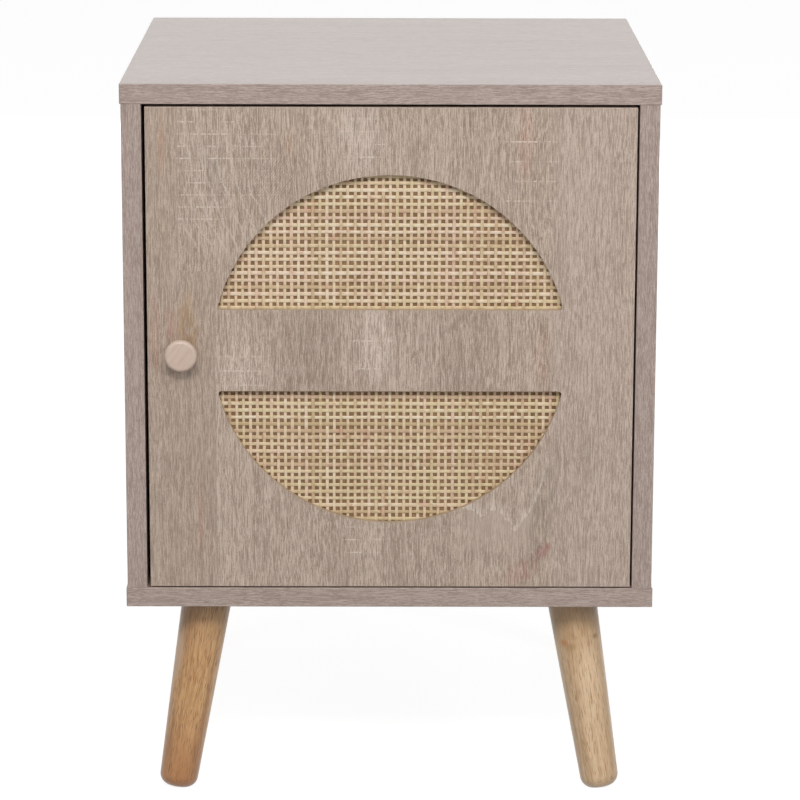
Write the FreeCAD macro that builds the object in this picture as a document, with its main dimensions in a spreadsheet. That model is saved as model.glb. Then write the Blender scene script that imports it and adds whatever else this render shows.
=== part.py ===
import FreeCAD, Part
import math
import os
import re
import Sketcher

# Nightstand with one inset door, millimetres. X runs along the width, Y from the front to the
# back and Z up. The origin is on the floor, under the middle of the whole piece with its knob.

SIZES = {
    # Boards of the carcass
    "overall_width": 400,
    "overall_depth": 400,
    "carcass_height": 400,
    "leg_height": 150,
    "board": 15,
    "edge_easing": 0.6,
    "side_setback": 1,
    "back_thickness": 3,
    "back_inset": 10,
    "groove_depth": 5,
    "groove_play": 0.1,
    "back_play": 0.5,
    # Knock-down fittings between the boards
    "cam_setback": 60,
    "cam_edge": 34,
    "cam_radius": 7.5,
    "cam_depth": 12.5,
    "cam_recess": 0.2,
    "cam_slot_width": 2,
    "cam_slot_length": 9,
    "cam_slot_depth": 2.5,
    "bolt_thread_radius": 3,
    "bolt_thread_length": 10,
    "bolt_shank_radius": 2.5,
    "bolt_head_radius": 3.2,
    "bolt_head_length": 4,
    "bolt_bore_play": 0.6,
    "dowel_setback": 100,
    "dowel_radius": 4,
    "dowel_length": 30,
    "dowel_seat": 9,
    "dowel_end_play": 0.5,
    # Legs
    "leg_side_inset": 60,
    "leg_front_inset": 43.5,
    "leg_splay": 24.2,
    "leg_top_radius": 19.2,
    "leg_foot_radius": 14.4,
    "leg_foot_flat": 5,
    "leg_bolt_radius": 4,
    "leg_bolt_in_leg": 35,
    "leg_bolt_in_board": 12,
    "insert_radius": 5.5,
    "insert_length": 13,
    # Door
    "door_thickness": 15,
    "latch_gap": 2.5,
    "hinge_gap": 1.5,
    "upper_gap": 2,
    "lower_gap": 1,
    "window_margin": 49,
    "band_height": 62,
    "window_corner": 2.5,
    "ledge_width": 10,
    "cane_thickness": 1.5,
    "backing_thickness": 4,
    "backing_setback": 4.5,
    "cane_play": 0.3,
    "brad_radius": 0.8,
    "brad_head_radius": 1.8,
    "brad_head_height": 1,
    "brad_grip": 3,
    # Knob
    "knob_inset": 25.3,
    "knob_drop": 2.3,
    "knob_radius": 13.1,
    "knob_back_radius": 10.5,
    "knob_stem_radius": 7,
    "knob_stem_length": 2,
    "knob_projection": 12,
    "knob_face_rounding": 3,
    "knob_back_rounding": 1,
    "knob_screw_radius": 2,
    "knob_screw_grip": 8,
    "knob_screw_head_radius": 4,
    "knob_screw_head_height": 2.2,
    # Cup hinges
    "hinge_inset": 75,
    "cup_inset": 21,
    "cup_radius": 17.5,
    "cup_depth": 12,
    "cup_wall": 1,
    "cup_floor": 0.8,
    "rim_width": 0.8,
    "rim_thickness": 0.8,
    "cup_screw_offset": 9.5,
    "cup_screw_spacing": 45,
    "cup_flange_radius": 6.5,
    "cup_screw_radius": 1.75,
    "cup_screw_length": 11,
    "cup_screw_head_radius": 3.5,
    "cup_screw_head_height": 2,
    "outer_pivot_inset": 9.3,
    "outer_pivot_depth": 4.2,
    "inner_pivot_step": 6.4,
    "inner_pivot_depth": 3.3,
    "arm_outer_pivot_inset": 30,
    "arm_outer_pivot_height": 11,
    "arm_inner_pivot_inset": 39.5,
    "arm_inner_pivot_height": 4,
    "pivot_radius": 1.2,
    "cup_pin_cover": 0.25,
    "pivot_play": 0.05,
    "eye_radius": 2.4,
    "link_thickness": 1.8,
    "inner_link_half_width": 3.6,
    "arm_slot_half_width": 4,
    "arm_half_width": 5.5,
    "outer_link_near": 5.8,
    "outer_link_far": 7,
    "cup_ear_near": 4.1,
    "cup_ear_radius": 2.2,
    "outer_bend_drop": 5.3,
    "outer_bend_reach": 4.2,
    "outer_heel_drop": 4.2,
    "outer_heel_reach": 9.9,
    "inner_bend_drop": 2.4,
    "inner_bend_reach": 12.5,
    "inner_heel_rise": 5.2,
    "inner_heel_reach": 19.3,
    "arm_nose_radius": 2.6,
    "arm_radius": 3.2,
    "arm_web": 1.5,
    "arm_slot_lead": 1,
    "arm_eye_play": 0.4,
    "arm_standoff": 6.3,
    "arm_knee": 35,
    "arm_length": 67,
    "plate_thickness": 2,
    "plate_reach": 68,
    "plate_start": 27,
    "rib_play": 0.1,
    "rib_start": 38,
    "wing_reach": 37,
    "wing_half_length": 7,
    "wing_half_height": 22,
    "plate_screw_spacing": 32,
    "plate_screw_radius": 2,
    "plate_screw_length": 12,
    "plate_screw_head_radius": 3.8,
    "plate_screw_head_height": 1.8,
    "arm_screw_front": 46,
    "arm_screw_back": 59,
    "arm_screw_radius": 2.3,
    "arm_screw_length": 6,
    "arm_screw_head_radius": 3.6,
    "arm_screw_head_height": 2.2,
    # Door stop
    "stop_inset": 6,
    "stop_width": 20,
    "stop_depth": 16,
    "stop_height": 14,
    "stop_pad_thickness": 2,
    "stop_pad_play": 0.3,
    "stop_pad_margin": 2,
    "stop_screw_radius": 1.75,
    "stop_screw_length": 10,
    "stop_screw_head_radius": 3.5,
    "stop_screw_head_height": 2,
    # Shared fits
    "fit": 0.05,
    "overrun": 1,
}

# How many brads hold the cane backing round its edge
BRAD_COUNT = 8

doc = FreeCAD.newDocument("nightstand")
sheet = doc.addObject("Spreadsheet::Sheet", "Sizes")
for row, (alias, size) in enumerate(SIZES.items(), start=1):
    sheet.set(f"A{row}", alias)
    sheet.set(f"B{row}", str(size))
    sheet.setAlias(f"B{row}", alias)
doc.recompute()

nodes = {}


# Helpers that tie objects to the sheet

def full(expression):
    """Put the sheet's name before each size that an expression uses."""
    def named(word):
        """A size with the sheet's name before it, or any other word as it is."""
        return f"Sizes.{word[0]}" if word[0] in SIZES else word[0]

    return re.sub(r"[a-z_]+", named, expression)


def value(expression):
    """Return the present number of an expression."""
    result = sheet.evalExpression(full(expression))
    return float(getattr(result, "Value", result))


def bind(item, **properties):
    """Tie properties of an object to expressions."""
    for name, expression in properties.items():
        item.setExpression(name, full(expression))


def place(item, x, y, z):
    """Tie an object's place to expressions."""
    for axis, expression in zip("xyz", (x, y, z)):
        item.setExpression(f"Placement.Base.{axis}", full(expression))


def keep(label, item):
    """Give a finished sub-part its name."""
    item.Label = label
    nodes[label] = item
    return item


# Part primitives and booleans

TURNS = {
    "+x": FreeCAD.Rotation(FreeCAD.Vector(0, 1, 0), 90),
    "-x": FreeCAD.Rotation(FreeCAD.Vector(0, 1, 0), -90),
    "+y": FreeCAD.Rotation(FreeCAD.Vector(1, 0, 0), -90),
    "-y": FreeCAD.Rotation(FreeCAD.Vector(1, 0, 0), 90),
    "+z": FreeCAD.Rotation(),
    "-z": FreeCAD.Rotation(FreeCAD.Vector(1, 0, 0), 180),
}


def rod(name, heading, start, radius, length):
    """A cylinder that runs from a start point along a heading."""
    item = doc.addObject("Part::Cylinder", name)
    bind(item, Radius=radius, Height=length)
    item.Placement = FreeCAD.Placement(FreeCAD.Vector(), TURNS[heading])
    place(item, *start)
    return item


def taper(name, heading, start, radius, end_radius, length):
    """A cone that runs from a start point along a heading."""
    item = doc.addObject("Part::Cone", name)
    bind(item, Radius1=radius, Radius2=end_radius, Height=length)
    item.Placement = FreeCAD.Placement(FreeCAD.Vector(), TURNS[heading])
    place(item, *start)
    return item


def box(name, x_span, y_span, z_span):
    """A block between two levels on each axis."""
    item = doc.addObject("Part::Box", name)
    (x_low, x_high), (y_low, y_high), (z_low, z_high) = x_span, y_span, z_span
    bind(item, Length=f"{x_high} - {x_low}", Width=f"{y_high} - {y_low}", Height=f"{z_high} - {z_low}")
    place(item, x_low, y_low, z_low)
    return item


def fuse(name, items):
    """One solid out of several that meet."""
    item = doc.addObject("Part::MultiFuse", name)
    item.Shapes = items
    item.Refine = True
    return item


def cut(name, base, tools):
    """A solid less several others."""
    item = doc.addObject("Part::Cut", name)
    item.Base = base
    item.Tool = tools[0] if len(tools) == 1 else fuse(f"{name}_tools", tools)
    item.Refine = True
    return item


def group(name, items):
    """Separate solids that share one node."""
    item = doc.addObject("Part::Compound", name)
    item.Links = items
    return item


def strip(name, points, radius, low, high):
    """A flat bar with round corners through points of the plan, between two heights."""
    pieces = []
    height = f"({high}) - ({low})"
    for number, (x, y) in enumerate(points):
        pieces.append(rod(f"{name}_corner_{number}", "+z", (x, y, low), radius, height))
    for number, ((x, y), (next_x, next_y)) in enumerate(zip(points, points[1:])):
        run = f"({next_x} - {x})"
        rise = f"({next_y} - {y})"
        turn = f"atan2({rise}; {run})"
        run_box = doc.addObject("Part::Box", f"{name}_run_{number}")
        bind(run_box, Length=f"hypot({run}; {rise})", Width=f"2 * {radius}", Height=height)
        run_box.Placement.Rotation.Axis = FreeCAD.Vector(0, 0, 1)
        place(run_box, f"{x} + {radius} * sin({turn})", f"{y} - {radius} * cos({turn})", low)
        run_box.setExpression("Placement.Rotation.Angle", full(turn))
        pieces.append(run_box)
    return fuse(name, pieces)


def screw(name, heading, head, shank_radius, length, head_radius, head_height):
    """A flat-headed screw whose head's face is at a point and whose shank follows a heading."""
    crown = taper(f"{name}_head", heading, head, head_radius, shank_radius, head_height)
    shank = rod(f"{name}_shank", heading, head, shank_radius, length)
    return fuse(name, [crown, shank])


def screw_room(name, heading, head, shank_radius, length, head_radius, head_height):
    """The countersunk hole that a flat-headed screw fills, a fit larger all round."""
    bore = f"({shank_radius} + fit)"
    crown = taper(f"{name}_head", heading, head, f"({head_radius} + fit)", bore, head_height)
    shank = rod(f"{name}_shank", heading, head, bore, f"({length} + fit)")
    return fuse(name, [crown, shank])


# Part Design bodies

PLANES = {"x": ("YZ_Plane", ""), "y": ("XZ_Plane", "-"), "z": ("XY_Plane", "")}


def sketch_across(body, normal, level):
    """A sketch square to an axis, at a level along it."""
    role, sign = PLANES[normal]
    sketch = body.newObject("Sketcher::SketchObject", f"{body.Name}_sketch")
    plane = next(item for item in body.Origin.OriginFeatures if item.Role == role)
    sketch.AttachmentSupport = [(plane, "")]
    sketch.MapMode = "FlatFace"
    sketch.setExpression("AttachmentOffset.Base.z", full(f"{sign}({level})"))
    return sketch


def pin_point(sketch, geometry, point, across, up):
    """Tie a point of a sketch to the sketch's origin."""
    for kind, axis, expression in (("DistanceX", -2, across), ("DistanceY", -1, up)):
        if expression == "0":
            sketch.addConstraint(Sketcher.Constraint("PointOnObject", geometry, point, axis))
            continue
        size = Sketcher.Constraint(kind, -1, 1, geometry, point, value(expression))
        sketch.setExpression(f"Constraints[{sketch.addConstraint(size)}]", full(expression))


def tie_radius(sketch, geometry, radius):
    """Tie the radius of a circle or arc."""
    size = Sketcher.Constraint("Radius", geometry, value(radius))
    sketch.setExpression(f"Constraints[{sketch.addConstraint(size)}]", full(radius))


def outline(points):
    """A closed outline of straight runs through points."""
    def draw(sketch):
        spots = [FreeCAD.Vector(value(across), value(up), 0) for across, up in points]
        first = None
        for number, (across, up) in enumerate(points):
            line = sketch.addGeometry(Part.LineSegment(spots[number], spots[(number + 1) % len(spots)]))
            first = line if first is None else first
            pin_point(sketch, line, 1, across, up)
            if line > first:
                sketch.addConstraint(Sketcher.Constraint("Coincident", line - 1, 2, line, 1))
        sketch.addConstraint(Sketcher.Constraint("Coincident", first + len(points) - 1, 2, first, 1))
    return draw


def block(across_span, up_span):
    """A rectangle between two levels on each axis of a sketch."""
    (left, right), (low, high) = across_span, up_span
    return outline([(left, low), (right, low), (right, high), (left, high)])


def disc(across, up, radius):
    """A circle about a point of a sketch."""
    def draw(sketch):
        centre = FreeCAD.Vector(value(across), value(up), 0)
        circle = Part.Circle(centre, FreeCAD.Vector(0, 0, 1), value(radius))
        geometry = sketch.addGeometry(circle)
        pin_point(sketch, geometry, 3, across, up)
        tie_radius(sketch, geometry, radius)
    return draw


def feature(kind, body, normal, span, shapes):
    """Add or remove what a sketch's shapes sweep between two levels."""
    low, high = span
    sketch = sketch_across(body, normal, f"(({low}) + ({high})) / 2")
    for draw in shapes:
        draw(sketch)
    item = body.newObject(f"PartDesign::{kind}", f"{body.Name}_{kind}")
    item.Profile = sketch
    item.SideType = "Symmetric"
    bind(item, Length=f"({high}) - ({low})")
    return item


def add(body, normal, span, *shapes):
    """Pad shapes between two levels."""
    return feature("Pad", body, normal, span, shapes)


def remove(body, normal, span, *shapes):
    """Pocket shapes between two levels."""
    return feature("Pocket", body, normal, span, shapes)


def turned(name, points):
    """A body turned about its own Z axis from a half outline of radii and heights."""
    body = doc.addObject("PartDesign::Body", name)
    sketch = sketch_across(body, "y", "0")
    outline(points)(sketch)
    item = body.newObject("PartDesign::Revolution", f"{name}_turning")
    item.Profile = sketch
    item.ReferenceAxis = (sketch, ["V_Axis"])
    return body


def round_rim(body, height, radius, rounding):
    """Round the circular edge of a turned body at a height and radius."""
    doc.recompute()
    base = body.Tip
    names = []
    for number, edge in enumerate(base.Shape.Edges, start=1):
        curve = edge.Curve
        if not isinstance(curve, Part.Circle):
            continue
        level = math.isclose(curve.Center.z, value(height), abs_tol=1e-6)
        if level and math.isclose(curve.Radius, value(radius)):
            names.append(f"Edge{number}")
    item = body.newObject("PartDesign::Fillet", f"{body.Name}_rim")
    item.Base = (base, names)
    bind(item, Radius=rounding)
    return item


def ease(body, heading=None):
    """Ease the edges of a plain block: all of them, or only those along a heading."""
    doc.recompute()
    base = body.Tip
    names = []
    for number, edge in enumerate(base.Shape.Edges, start=1):
        way = edge.tangentAt(edge.FirstParameter)
        if heading is None or math.isclose(abs(way.dot(heading)), 1):
            names.append(f"Edge{number}")
    item = body.newObject("PartDesign::Fillet", f"{body.Name}_easing")
    item.Base = (base, names)
    bind(item, Radius="edge_easing")
    return item


# Levels that the pieces share

TOP_HIGH = "(leg_height + carcass_height)"
TOP_LOW = f"({TOP_HIGH} - board)"
BOTTOM_LOW = "leg_height"
BOTTOM_HIGH = "(leg_height + board)"
HALF_WIDTH = "(overall_width / 2)"
SIDE_OUTER = f"({HALF_WIDTH} - side_setback)"
SIDE_INNER = f"({SIDE_OUTER} - board)"
SIDE_MIDDLE = f"({SIDE_INNER} + board / 2)"
MIDDLE_Y = "(knob_projection / 2)"
FRONT = f"({MIDDLE_Y} - overall_depth / 2)"
REAR = f"({MIDDLE_Y} + overall_depth / 2)"
BACK_REAR = f"({REAR} - back_inset)"
BACK_FRONT = f"({BACK_REAR} - back_thickness)"
GROOVE_Y = (f"({BACK_FRONT} - groove_play)", f"({BACK_REAR} + groove_play)")
GROOVE_X = f"({SIDE_INNER} + groove_depth)"
DOOR_BACK = f"({FRONT} + door_thickness)"
DOOR_LEFT = f"(latch_gap - {SIDE_INNER})"
DOOR_RIGHT = f"({SIDE_INNER} - hinge_gap)"
DOOR_LOW = f"({BOTTOM_HIGH} + lower_gap)"
DOOR_HIGH = f"({TOP_LOW} - upper_gap)"
DOOR_MIDDLE = f"(({DOOR_LOW} + {DOOR_HIGH}) / 2)"
BACKING_BACK = f"({DOOR_BACK} - backing_setback)"
BACKING_FRONT = f"({BACKING_BACK} - backing_thickness)"
CANE_FRONT = f"({BACKING_FRONT} - cane_thickness)"
DOOR_SPAN = f"min({DOOR_RIGHT} - {DOOR_LEFT}; {DOOR_HIGH} - {DOOR_LOW})"
WINDOW_RADIUS = f"({DOOR_SPAN} / 2 - window_margin)"
REBATE_RADIUS = f"({WINDOW_RADIUS} + ledge_width)"

# Places of the fittings in the side boards' edges, front and rear
CAM_ROWS = (f"({FRONT} + cam_setback)", f"({REAR} - cam_setback)")
DOWEL_ROWS = (f"({FRONT} + dowel_setback)", f"({REAR} - dowel_setback)")
SIDES = {"left": "-", "right": ""}
LEG_ROWS = {"front": "-", "rear": "+"}
LEG_X = f"({HALF_WIDTH} - leg_side_inset)"
LEG_Y = "(overall_depth / 2 - leg_front_inset)"


# Carcass boards

def fitting_spots(rows):
    """Places of a row of fittings over both side boards."""
    return [(f"{sign}{SIDE_MIDDLE}", row) for sign in SIDES.values() for row in rows]


def end_board(label, low, high, joint, inward):
    """Top or bottom board, with its groove and the holes on its inner face."""
    body = doc.addObject("PartDesign::Body", label)
    add(body, "z", (low, high), block((f"-{HALF_WIDTH}", HALF_WIDTH), (FRONT, REAR)))
    ease(body)

    def depth(length):
        """Levels from the inner face into the board, and a little past the face."""
        ends = [f"{joint} + {inward}overrun", f"{joint} - {inward}({length})"]
        return ends if inward == "-1 * " else ends[::-1]

    remove(body, "z", depth("groove_depth"), block((f"-{GROOVE_X}", GROOVE_X), GROOVE_Y))
    bolt_holes = [disc(x, y, "(bolt_thread_radius + fit)") for x, y in fitting_spots(CAM_ROWS)]
    remove(body, "z", depth("bolt_thread_length + fit"), *bolt_holes)
    dowel_holes = [disc(x, y, "(dowel_radius + fit)") for x, y in fitting_spots(DOWEL_ROWS)]
    remove(body, "z", depth("dowel_seat + dowel_end_play"), *dowel_holes)
    return keep(label, body)


def side_board(label, sign):
    """Left or right side board, with its groove, edge bores and cam bores."""
    def across(inner, outer):
        """Levels across the board, given outwards from the inner face."""
        near, far = f"{SIDE_INNER} + {inner}", f"{SIDE_INNER} + {outer}"
        return (f"-({far})", f"-({near})") if sign == "-" else (near, far)

    body = doc.addObject("PartDesign::Body", label)
    add(body, "x", across("0", "board"), block((FRONT, REAR), (BOTTOM_HIGH, TOP_LOW)))
    ease(body, FreeCAD.Vector(0, 0, 1))
    remove(body, "x", across("(-overrun)", "groove_depth"),
           block(GROOVE_Y, (f"{BOTTOM_HIGH} - overrun", f"{TOP_LOW} + overrun")))
    cam_heights = (f"({BOTTOM_HIGH} + cam_edge)", f"({TOP_LOW} - cam_edge)")
    cam_holes = [disc(row, height, "(cam_radius + fit)") for row in CAM_ROWS for height in cam_heights]
    remove(body, "x", across("(-overrun)", "cam_depth + fit"), *cam_holes)
    bores = [disc(f"{sign}{SIDE_MIDDLE}", row, "(bolt_head_radius + bolt_bore_play)") for row in CAM_ROWS]
    remove(body, "z", (f"{BOTTOM_HIGH} - overrun", f"{BOTTOM_HIGH} + cam_edge"), *bores)
    remove(body, "z", (f"{TOP_LOW} - cam_edge", f"{TOP_LOW} + overrun"), *bores)
    holes = [disc(f"{sign}{SIDE_MIDDLE}", row, "(dowel_radius + fit)") for row in DOWEL_ROWS]
    seat = "(dowel_length - dowel_seat + dowel_end_play)"
    remove(body, "z", (f"{BOTTOM_HIGH} - overrun", f"{BOTTOM_HIGH} + {seat}"), *holes)
    remove(body, "z", (f"{TOP_LOW} - {seat}", f"{TOP_LOW} + overrun"), *holes)
    return keep(label, body)


top = end_board("top_panel", TOP_LOW, TOP_HIGH, TOP_LOW, "-1 * ")
bottom = end_board("bottom_panel", BOTTOM_LOW, BOTTOM_HIGH, BOTTOM_HIGH, "1 * ")
sides = {side: side_board(f"{side}_side_panel", sign) for side, sign in SIDES.items()}

back = doc.addObject("PartDesign::Body", "back_panel")
back_half = f"({GROOVE_X} - back_play)"
add(back, "y", (BACK_FRONT, BACK_REAR),
    block((f"-{back_half}", back_half),
          (f"{BOTTOM_HIGH} - groove_depth + back_play", f"{TOP_LOW} + groove_depth - back_play")))
keep("back_panel", back)


# Knock-down fittings

def cam_bolt(name, x, y, joint, heading, back_heading, sign):
    """Bolt screwed into a top or bottom board, reaching the middle of its cam."""
    thread = rod(f"{name}_thread", back_heading, (x, y, joint), "bolt_thread_radius", "bolt_thread_length")
    shank = rod(f"{name}_shank", heading, (x, y, joint), "bolt_shank_radius", "cam_edge")
    neck = f"{joint} {sign} (cam_edge - bolt_head_length)"
    head = rod(f"{name}_head", heading, (x, y, neck), "bolt_head_radius", "bolt_head_length")
    return fuse(name, [thread, shank, head])


def cam_lock(name, side, y, joint, heading, sign):
    """Cam disc in a side board's inner face, bored towards the joint for the bolt's head."""
    side_sign = SIDES[side]
    outward = "-x" if side == "left" else "+x"
    height = f"{joint} {sign} cam_edge"
    face = f"{side_sign}({SIDE_INNER} + cam_recess)"
    body = rod(f"{name}_disc", outward, (face, y, height), "cam_radius", "(cam_depth - cam_recess)")
    reach = f"{joint} {sign} (cam_edge + fit)"
    mouth = rod(f"{name}_mouth", heading, (f"{side_sign}{SIDE_MIDDLE}", y, reach),
                "(bolt_head_radius + bolt_bore_play)", "(cam_radius + overrun)")
    slots = []
    near, far = f"({SIDE_INNER} + cam_recess - overrun)", f"({SIDE_INNER} + cam_recess + cam_slot_depth)"
    span = (f"-{far}", f"-{near}") if side == "left" else (near, far)
    for wide, tall in (("cam_slot_length", "cam_slot_width"), ("cam_slot_width", "cam_slot_length")):
        slots.append(box(f"{name}_slot", span, (f"({y} - {wide} / 2)", f"({y} + {wide} / 2)"),
                         (f"({height} - {tall} / 2)", f"({height} + {tall} / 2)")))
    return cut(name, body, [mouth] + slots)


cam_bolts = []
cam_locks = []
dowels = []
for joint, heading, back_heading, sign in ((TOP_LOW, "-z", "+z", "-"), (BOTTOM_HIGH, "+z", "-z", "+")):
    for side, side_sign in SIDES.items():
        middle = f"{side_sign}{SIDE_MIDDLE}"
        for row in CAM_ROWS:
            cam_bolts.append(cam_bolt("cam_bolt", middle, row, joint, heading, back_heading, sign))
            cam_locks.append(cam_lock("cam_lock", side, row, joint, back_heading, sign))
        for row in DOWEL_ROWS:
            opposite = "-" if sign == "+" else "+"
            start = f"{joint} {opposite} dowel_seat"
            dowels.append(rod("dowel", heading, (middle, row, start), "dowel_radius", "dowel_length"))
keep("cam_bolts", group("cam_bolts", cam_bolts))
keep("cam_locks", group("cam_locks", cam_locks))
keep("dowels", group("dowels", dowels))


# Legs, each with a bolt into a threaded insert of the bottom board

LEG_LEAN = "atan2(sqrt(2) * leg_splay; leg_height)"
LEG_LENGTH = f"(leg_height / cos({LEG_LEAN}) + leg_top_radius)"
LEG_FLARE = f"((leg_top_radius - leg_foot_radius) * {LEG_LENGTH} * cos({LEG_LEAN}) / leg_height)"


def leg(label, x_sign, y_sign):
    """A turned, tapered leg that leans out to both sides, cut level at floor and board."""
    body = turned(f"{label}_turning", [("0", "0"), ("leg_foot_radius", "0"),
                                       (f"leg_foot_radius + {LEG_FLARE}", LEG_LENGTH), ("0", LEG_LENGTH)])
    round_rim(body, "0", "leg_foot_radius", "(leg_foot_radius - leg_foot_flat)")
    x_way = -1 if x_sign else 1
    y_way = -1 if y_sign == "-" else 1
    body.Placement.Rotation.Axis = FreeCAD.Vector(y_way, -x_way, 0)
    body.setExpression("Placement.Rotation.Angle", full(LEG_LEAN))
    foot = (f"{x_sign}({LEG_X} + leg_splay)", f"({MIDDLE_Y} {y_sign} ({LEG_Y} + leg_splay))")
    place(body, *foot, "0")
    reach = "(leg_splay + leg_top_radius * 2)"
    x_span, y_span = [(f"({middle} - {reach})", f"({middle} + {reach})") for middle in foot]
    room = box(f"{label}_room", x_span, y_span, ("0", "leg_height"))
    trimmed = doc.addObject("Part::Common", f"{label}_trimmed")
    trimmed.Base = body
    trimmed.Tool = room
    mouth = (f"{x_sign}{LEG_X}", f"{MIDDLE_Y} {y_sign} {LEG_Y}", "leg_height + overrun")
    bore = rod(f"{label}_bore", "-z", mouth, "(leg_bolt_radius + fit)", "(leg_bolt_in_leg + overrun + fit)")
    return keep(label, cut(label, trimmed, [bore]))


leg_bolts = []
leg_inserts = []
insert_holes = []
for row, y_sign in LEG_ROWS.items():
    for side, x_sign in SIDES.items():
        leg(f"leg_{row}_{side}", x_sign, y_sign)
        spot = (f"{x_sign}{LEG_X}", f"{MIDDLE_Y} {y_sign} {LEG_Y}")
        leg_bolts.append(rod("leg_bolt", "+z", (*spot, "leg_height - leg_bolt_in_leg"),
                             "leg_bolt_radius", "(leg_bolt_in_leg + leg_bolt_in_board)"))
        sleeve = rod("insert_sleeve", "+z", (*spot, "leg_height"), "insert_radius", "insert_length")
        thread = rod("insert_thread", "+z", (*spot, "leg_height - overrun"), "(leg_bolt_radius + fit)",
                     "(leg_bolt_in_board + fit + overrun)")
        leg_inserts.append(cut("leg_insert", sleeve, [thread]))
        insert_holes.append(disc(*spot, "(insert_radius + fit)"))
remove(bottom, "z", ("leg_height - overrun", "leg_height + insert_length + fit"), *insert_holes)
keep("leg_bolts", group("leg_bolts", leg_bolts))
keep("leg_inserts", group("leg_inserts", leg_inserts))


# Door

def window(sketch, side):
    """One half of the round cut-out: an arc, the band's edge and two small corners."""
    radius, corner = value(WINDOW_RADIUS), value("window_corner")
    chord = value("band_height / 2")
    middle = value(DOOR_MIDDLE)
    corner_x = math.sqrt((radius - corner) ** 2 - (chord + corner) ** 2)
    lean = math.atan2(chord + corner, corner_x)
    normal = FreeCAD.Vector(0, 0, 1)

    def arc(x, rise, arc_radius, start, end):
        """An arc given as for the upper half, mirrored for the lower one."""
        circle = Part.Circle(FreeCAD.Vector(x, middle + side * rise, 0), normal, arc_radius)
        first, last = (start, end) if side > 0 else (-end, -start)
        return sketch.addGeometry(Part.ArcOfCircle(circle, first, last))

    big = arc(0, 0, radius, lean, math.pi - lean)
    right = arc(corner_x, chord + corner, corner, -math.pi / 2, lean)
    left = arc(-corner_x, chord + corner, corner, math.pi - lean, 3 * math.pi / 2)
    edge_height = middle + side * chord
    edge = sketch.addGeometry(Part.LineSegment(FreeCAD.Vector(-corner_x, edge_height, 0),
                                               FreeCAD.Vector(corner_x, edge_height, 0)))
    start, end = (1, 2) if side > 0 else (2, 1)
    for first, first_end, second, second_end in ((big, end, left, start), (left, end, edge, 1),
                                                 (edge, 2, right, start), (right, end, big, start)):
        sketch.addConstraint(Sketcher.Constraint("Tangent", first, first_end, second, second_end))
    pin_point(sketch, big, 3, "0", DOOR_MIDDLE)
    tie_radius(sketch, big, WINDOW_RADIUS)
    tie_radius(sketch, right, "window_corner")
    tie_radius(sketch, left, "window_corner")
    height = f"{DOOR_MIDDLE} + {side} * band_height / 2"
    size = Sketcher.Constraint("DistanceY", -1, 1, edge, 1, edge_height)
    sketch.setExpression(f"Constraints[{sketch.addConstraint(size)}]", full(height))


HINGE_HEIGHTS = {"upper": f"({DOOR_HIGH} - hinge_inset)", "lower": f"({DOOR_LOW} + hinge_inset)"}
CUP_X = f"({DOOR_RIGHT} - cup_inset)"
CUP_SCREW_X = f"({CUP_X} - cup_screw_offset)"
KNOB_X = f"({DOOR_LEFT} + knob_inset)"
KNOB_Z = f"({DOOR_MIDDLE} - knob_drop)"
BRAD_RING = f"({WINDOW_RADIUS} + ledge_width / 2)"
brad_turns = [f"({number} + 0.5) * 360 / {BRAD_COUNT}" for number in range(BRAD_COUNT)]
brad_spots = [(f"{BRAD_RING} * cos({turn})", f"({DOOR_MIDDLE} + {BRAD_RING} * sin({turn}))")
              for turn in brad_turns]
cup_screw_spots = [(CUP_SCREW_X, f"({height} + {side} * cup_screw_spacing / 2)")
                   for height in HINGE_HEIGHTS.values() for side in (-1, 1)]

door = doc.addObject("PartDesign::Body", "door_panel")
add(door, "y", (FRONT, DOOR_BACK), block((DOOR_LEFT, DOOR_RIGHT), (DOOR_LOW, DOOR_HIGH)))
ease(door)
remove(door, "y", (CANE_FRONT, f"{DOOR_BACK} + overrun"), disc("0", DOOR_MIDDLE, REBATE_RADIUS))
remove(door, "y", (f"{FRONT} - overrun", f"{CANE_FRONT} + overrun"),
       lambda sketch: window(sketch, 1), lambda sketch: window(sketch, -1))
remove(door, "y", (f"{DOOR_BACK} - cup_depth", f"{DOOR_BACK} + overrun"),
       *[disc(CUP_X, height, "(cup_radius + fit)") for height in HINGE_HEIGHTS.values()])
remove(door, "y", (f"{DOOR_BACK} + rim_thickness - cup_screw_length - fit", f"{DOOR_BACK} + overrun"),
       *[disc(x, z, "(cup_screw_radius + fit)") for x, z in cup_screw_spots])
remove(door, "y", (f"{FRONT} - overrun", f"{DOOR_BACK} + overrun"),
       disc(KNOB_X, KNOB_Z, "(knob_screw_radius + fit)"))
remove(door, "y", (f"{CANE_FRONT} - brad_grip - fit", f"{CANE_FRONT} + overrun"),
       *[disc(x, z, "(brad_radius + fit)") for x, z in brad_spots])
keep("door_panel", door)


def round_sheet(label, front, rear):
    """A round sheet that lies in the door's rebate, with holes for the brads."""
    body = doc.addObject("PartDesign::Body", label)
    add(body, "y", (front, rear), disc("0", DOOR_MIDDLE, f"({REBATE_RADIUS} - cane_play)"))
    remove(body, "y", (f"{front} - overrun", f"{rear} + overrun"),
           *[disc(x, z, "(brad_radius + fit)") for x, z in brad_spots])
    return body


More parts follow.
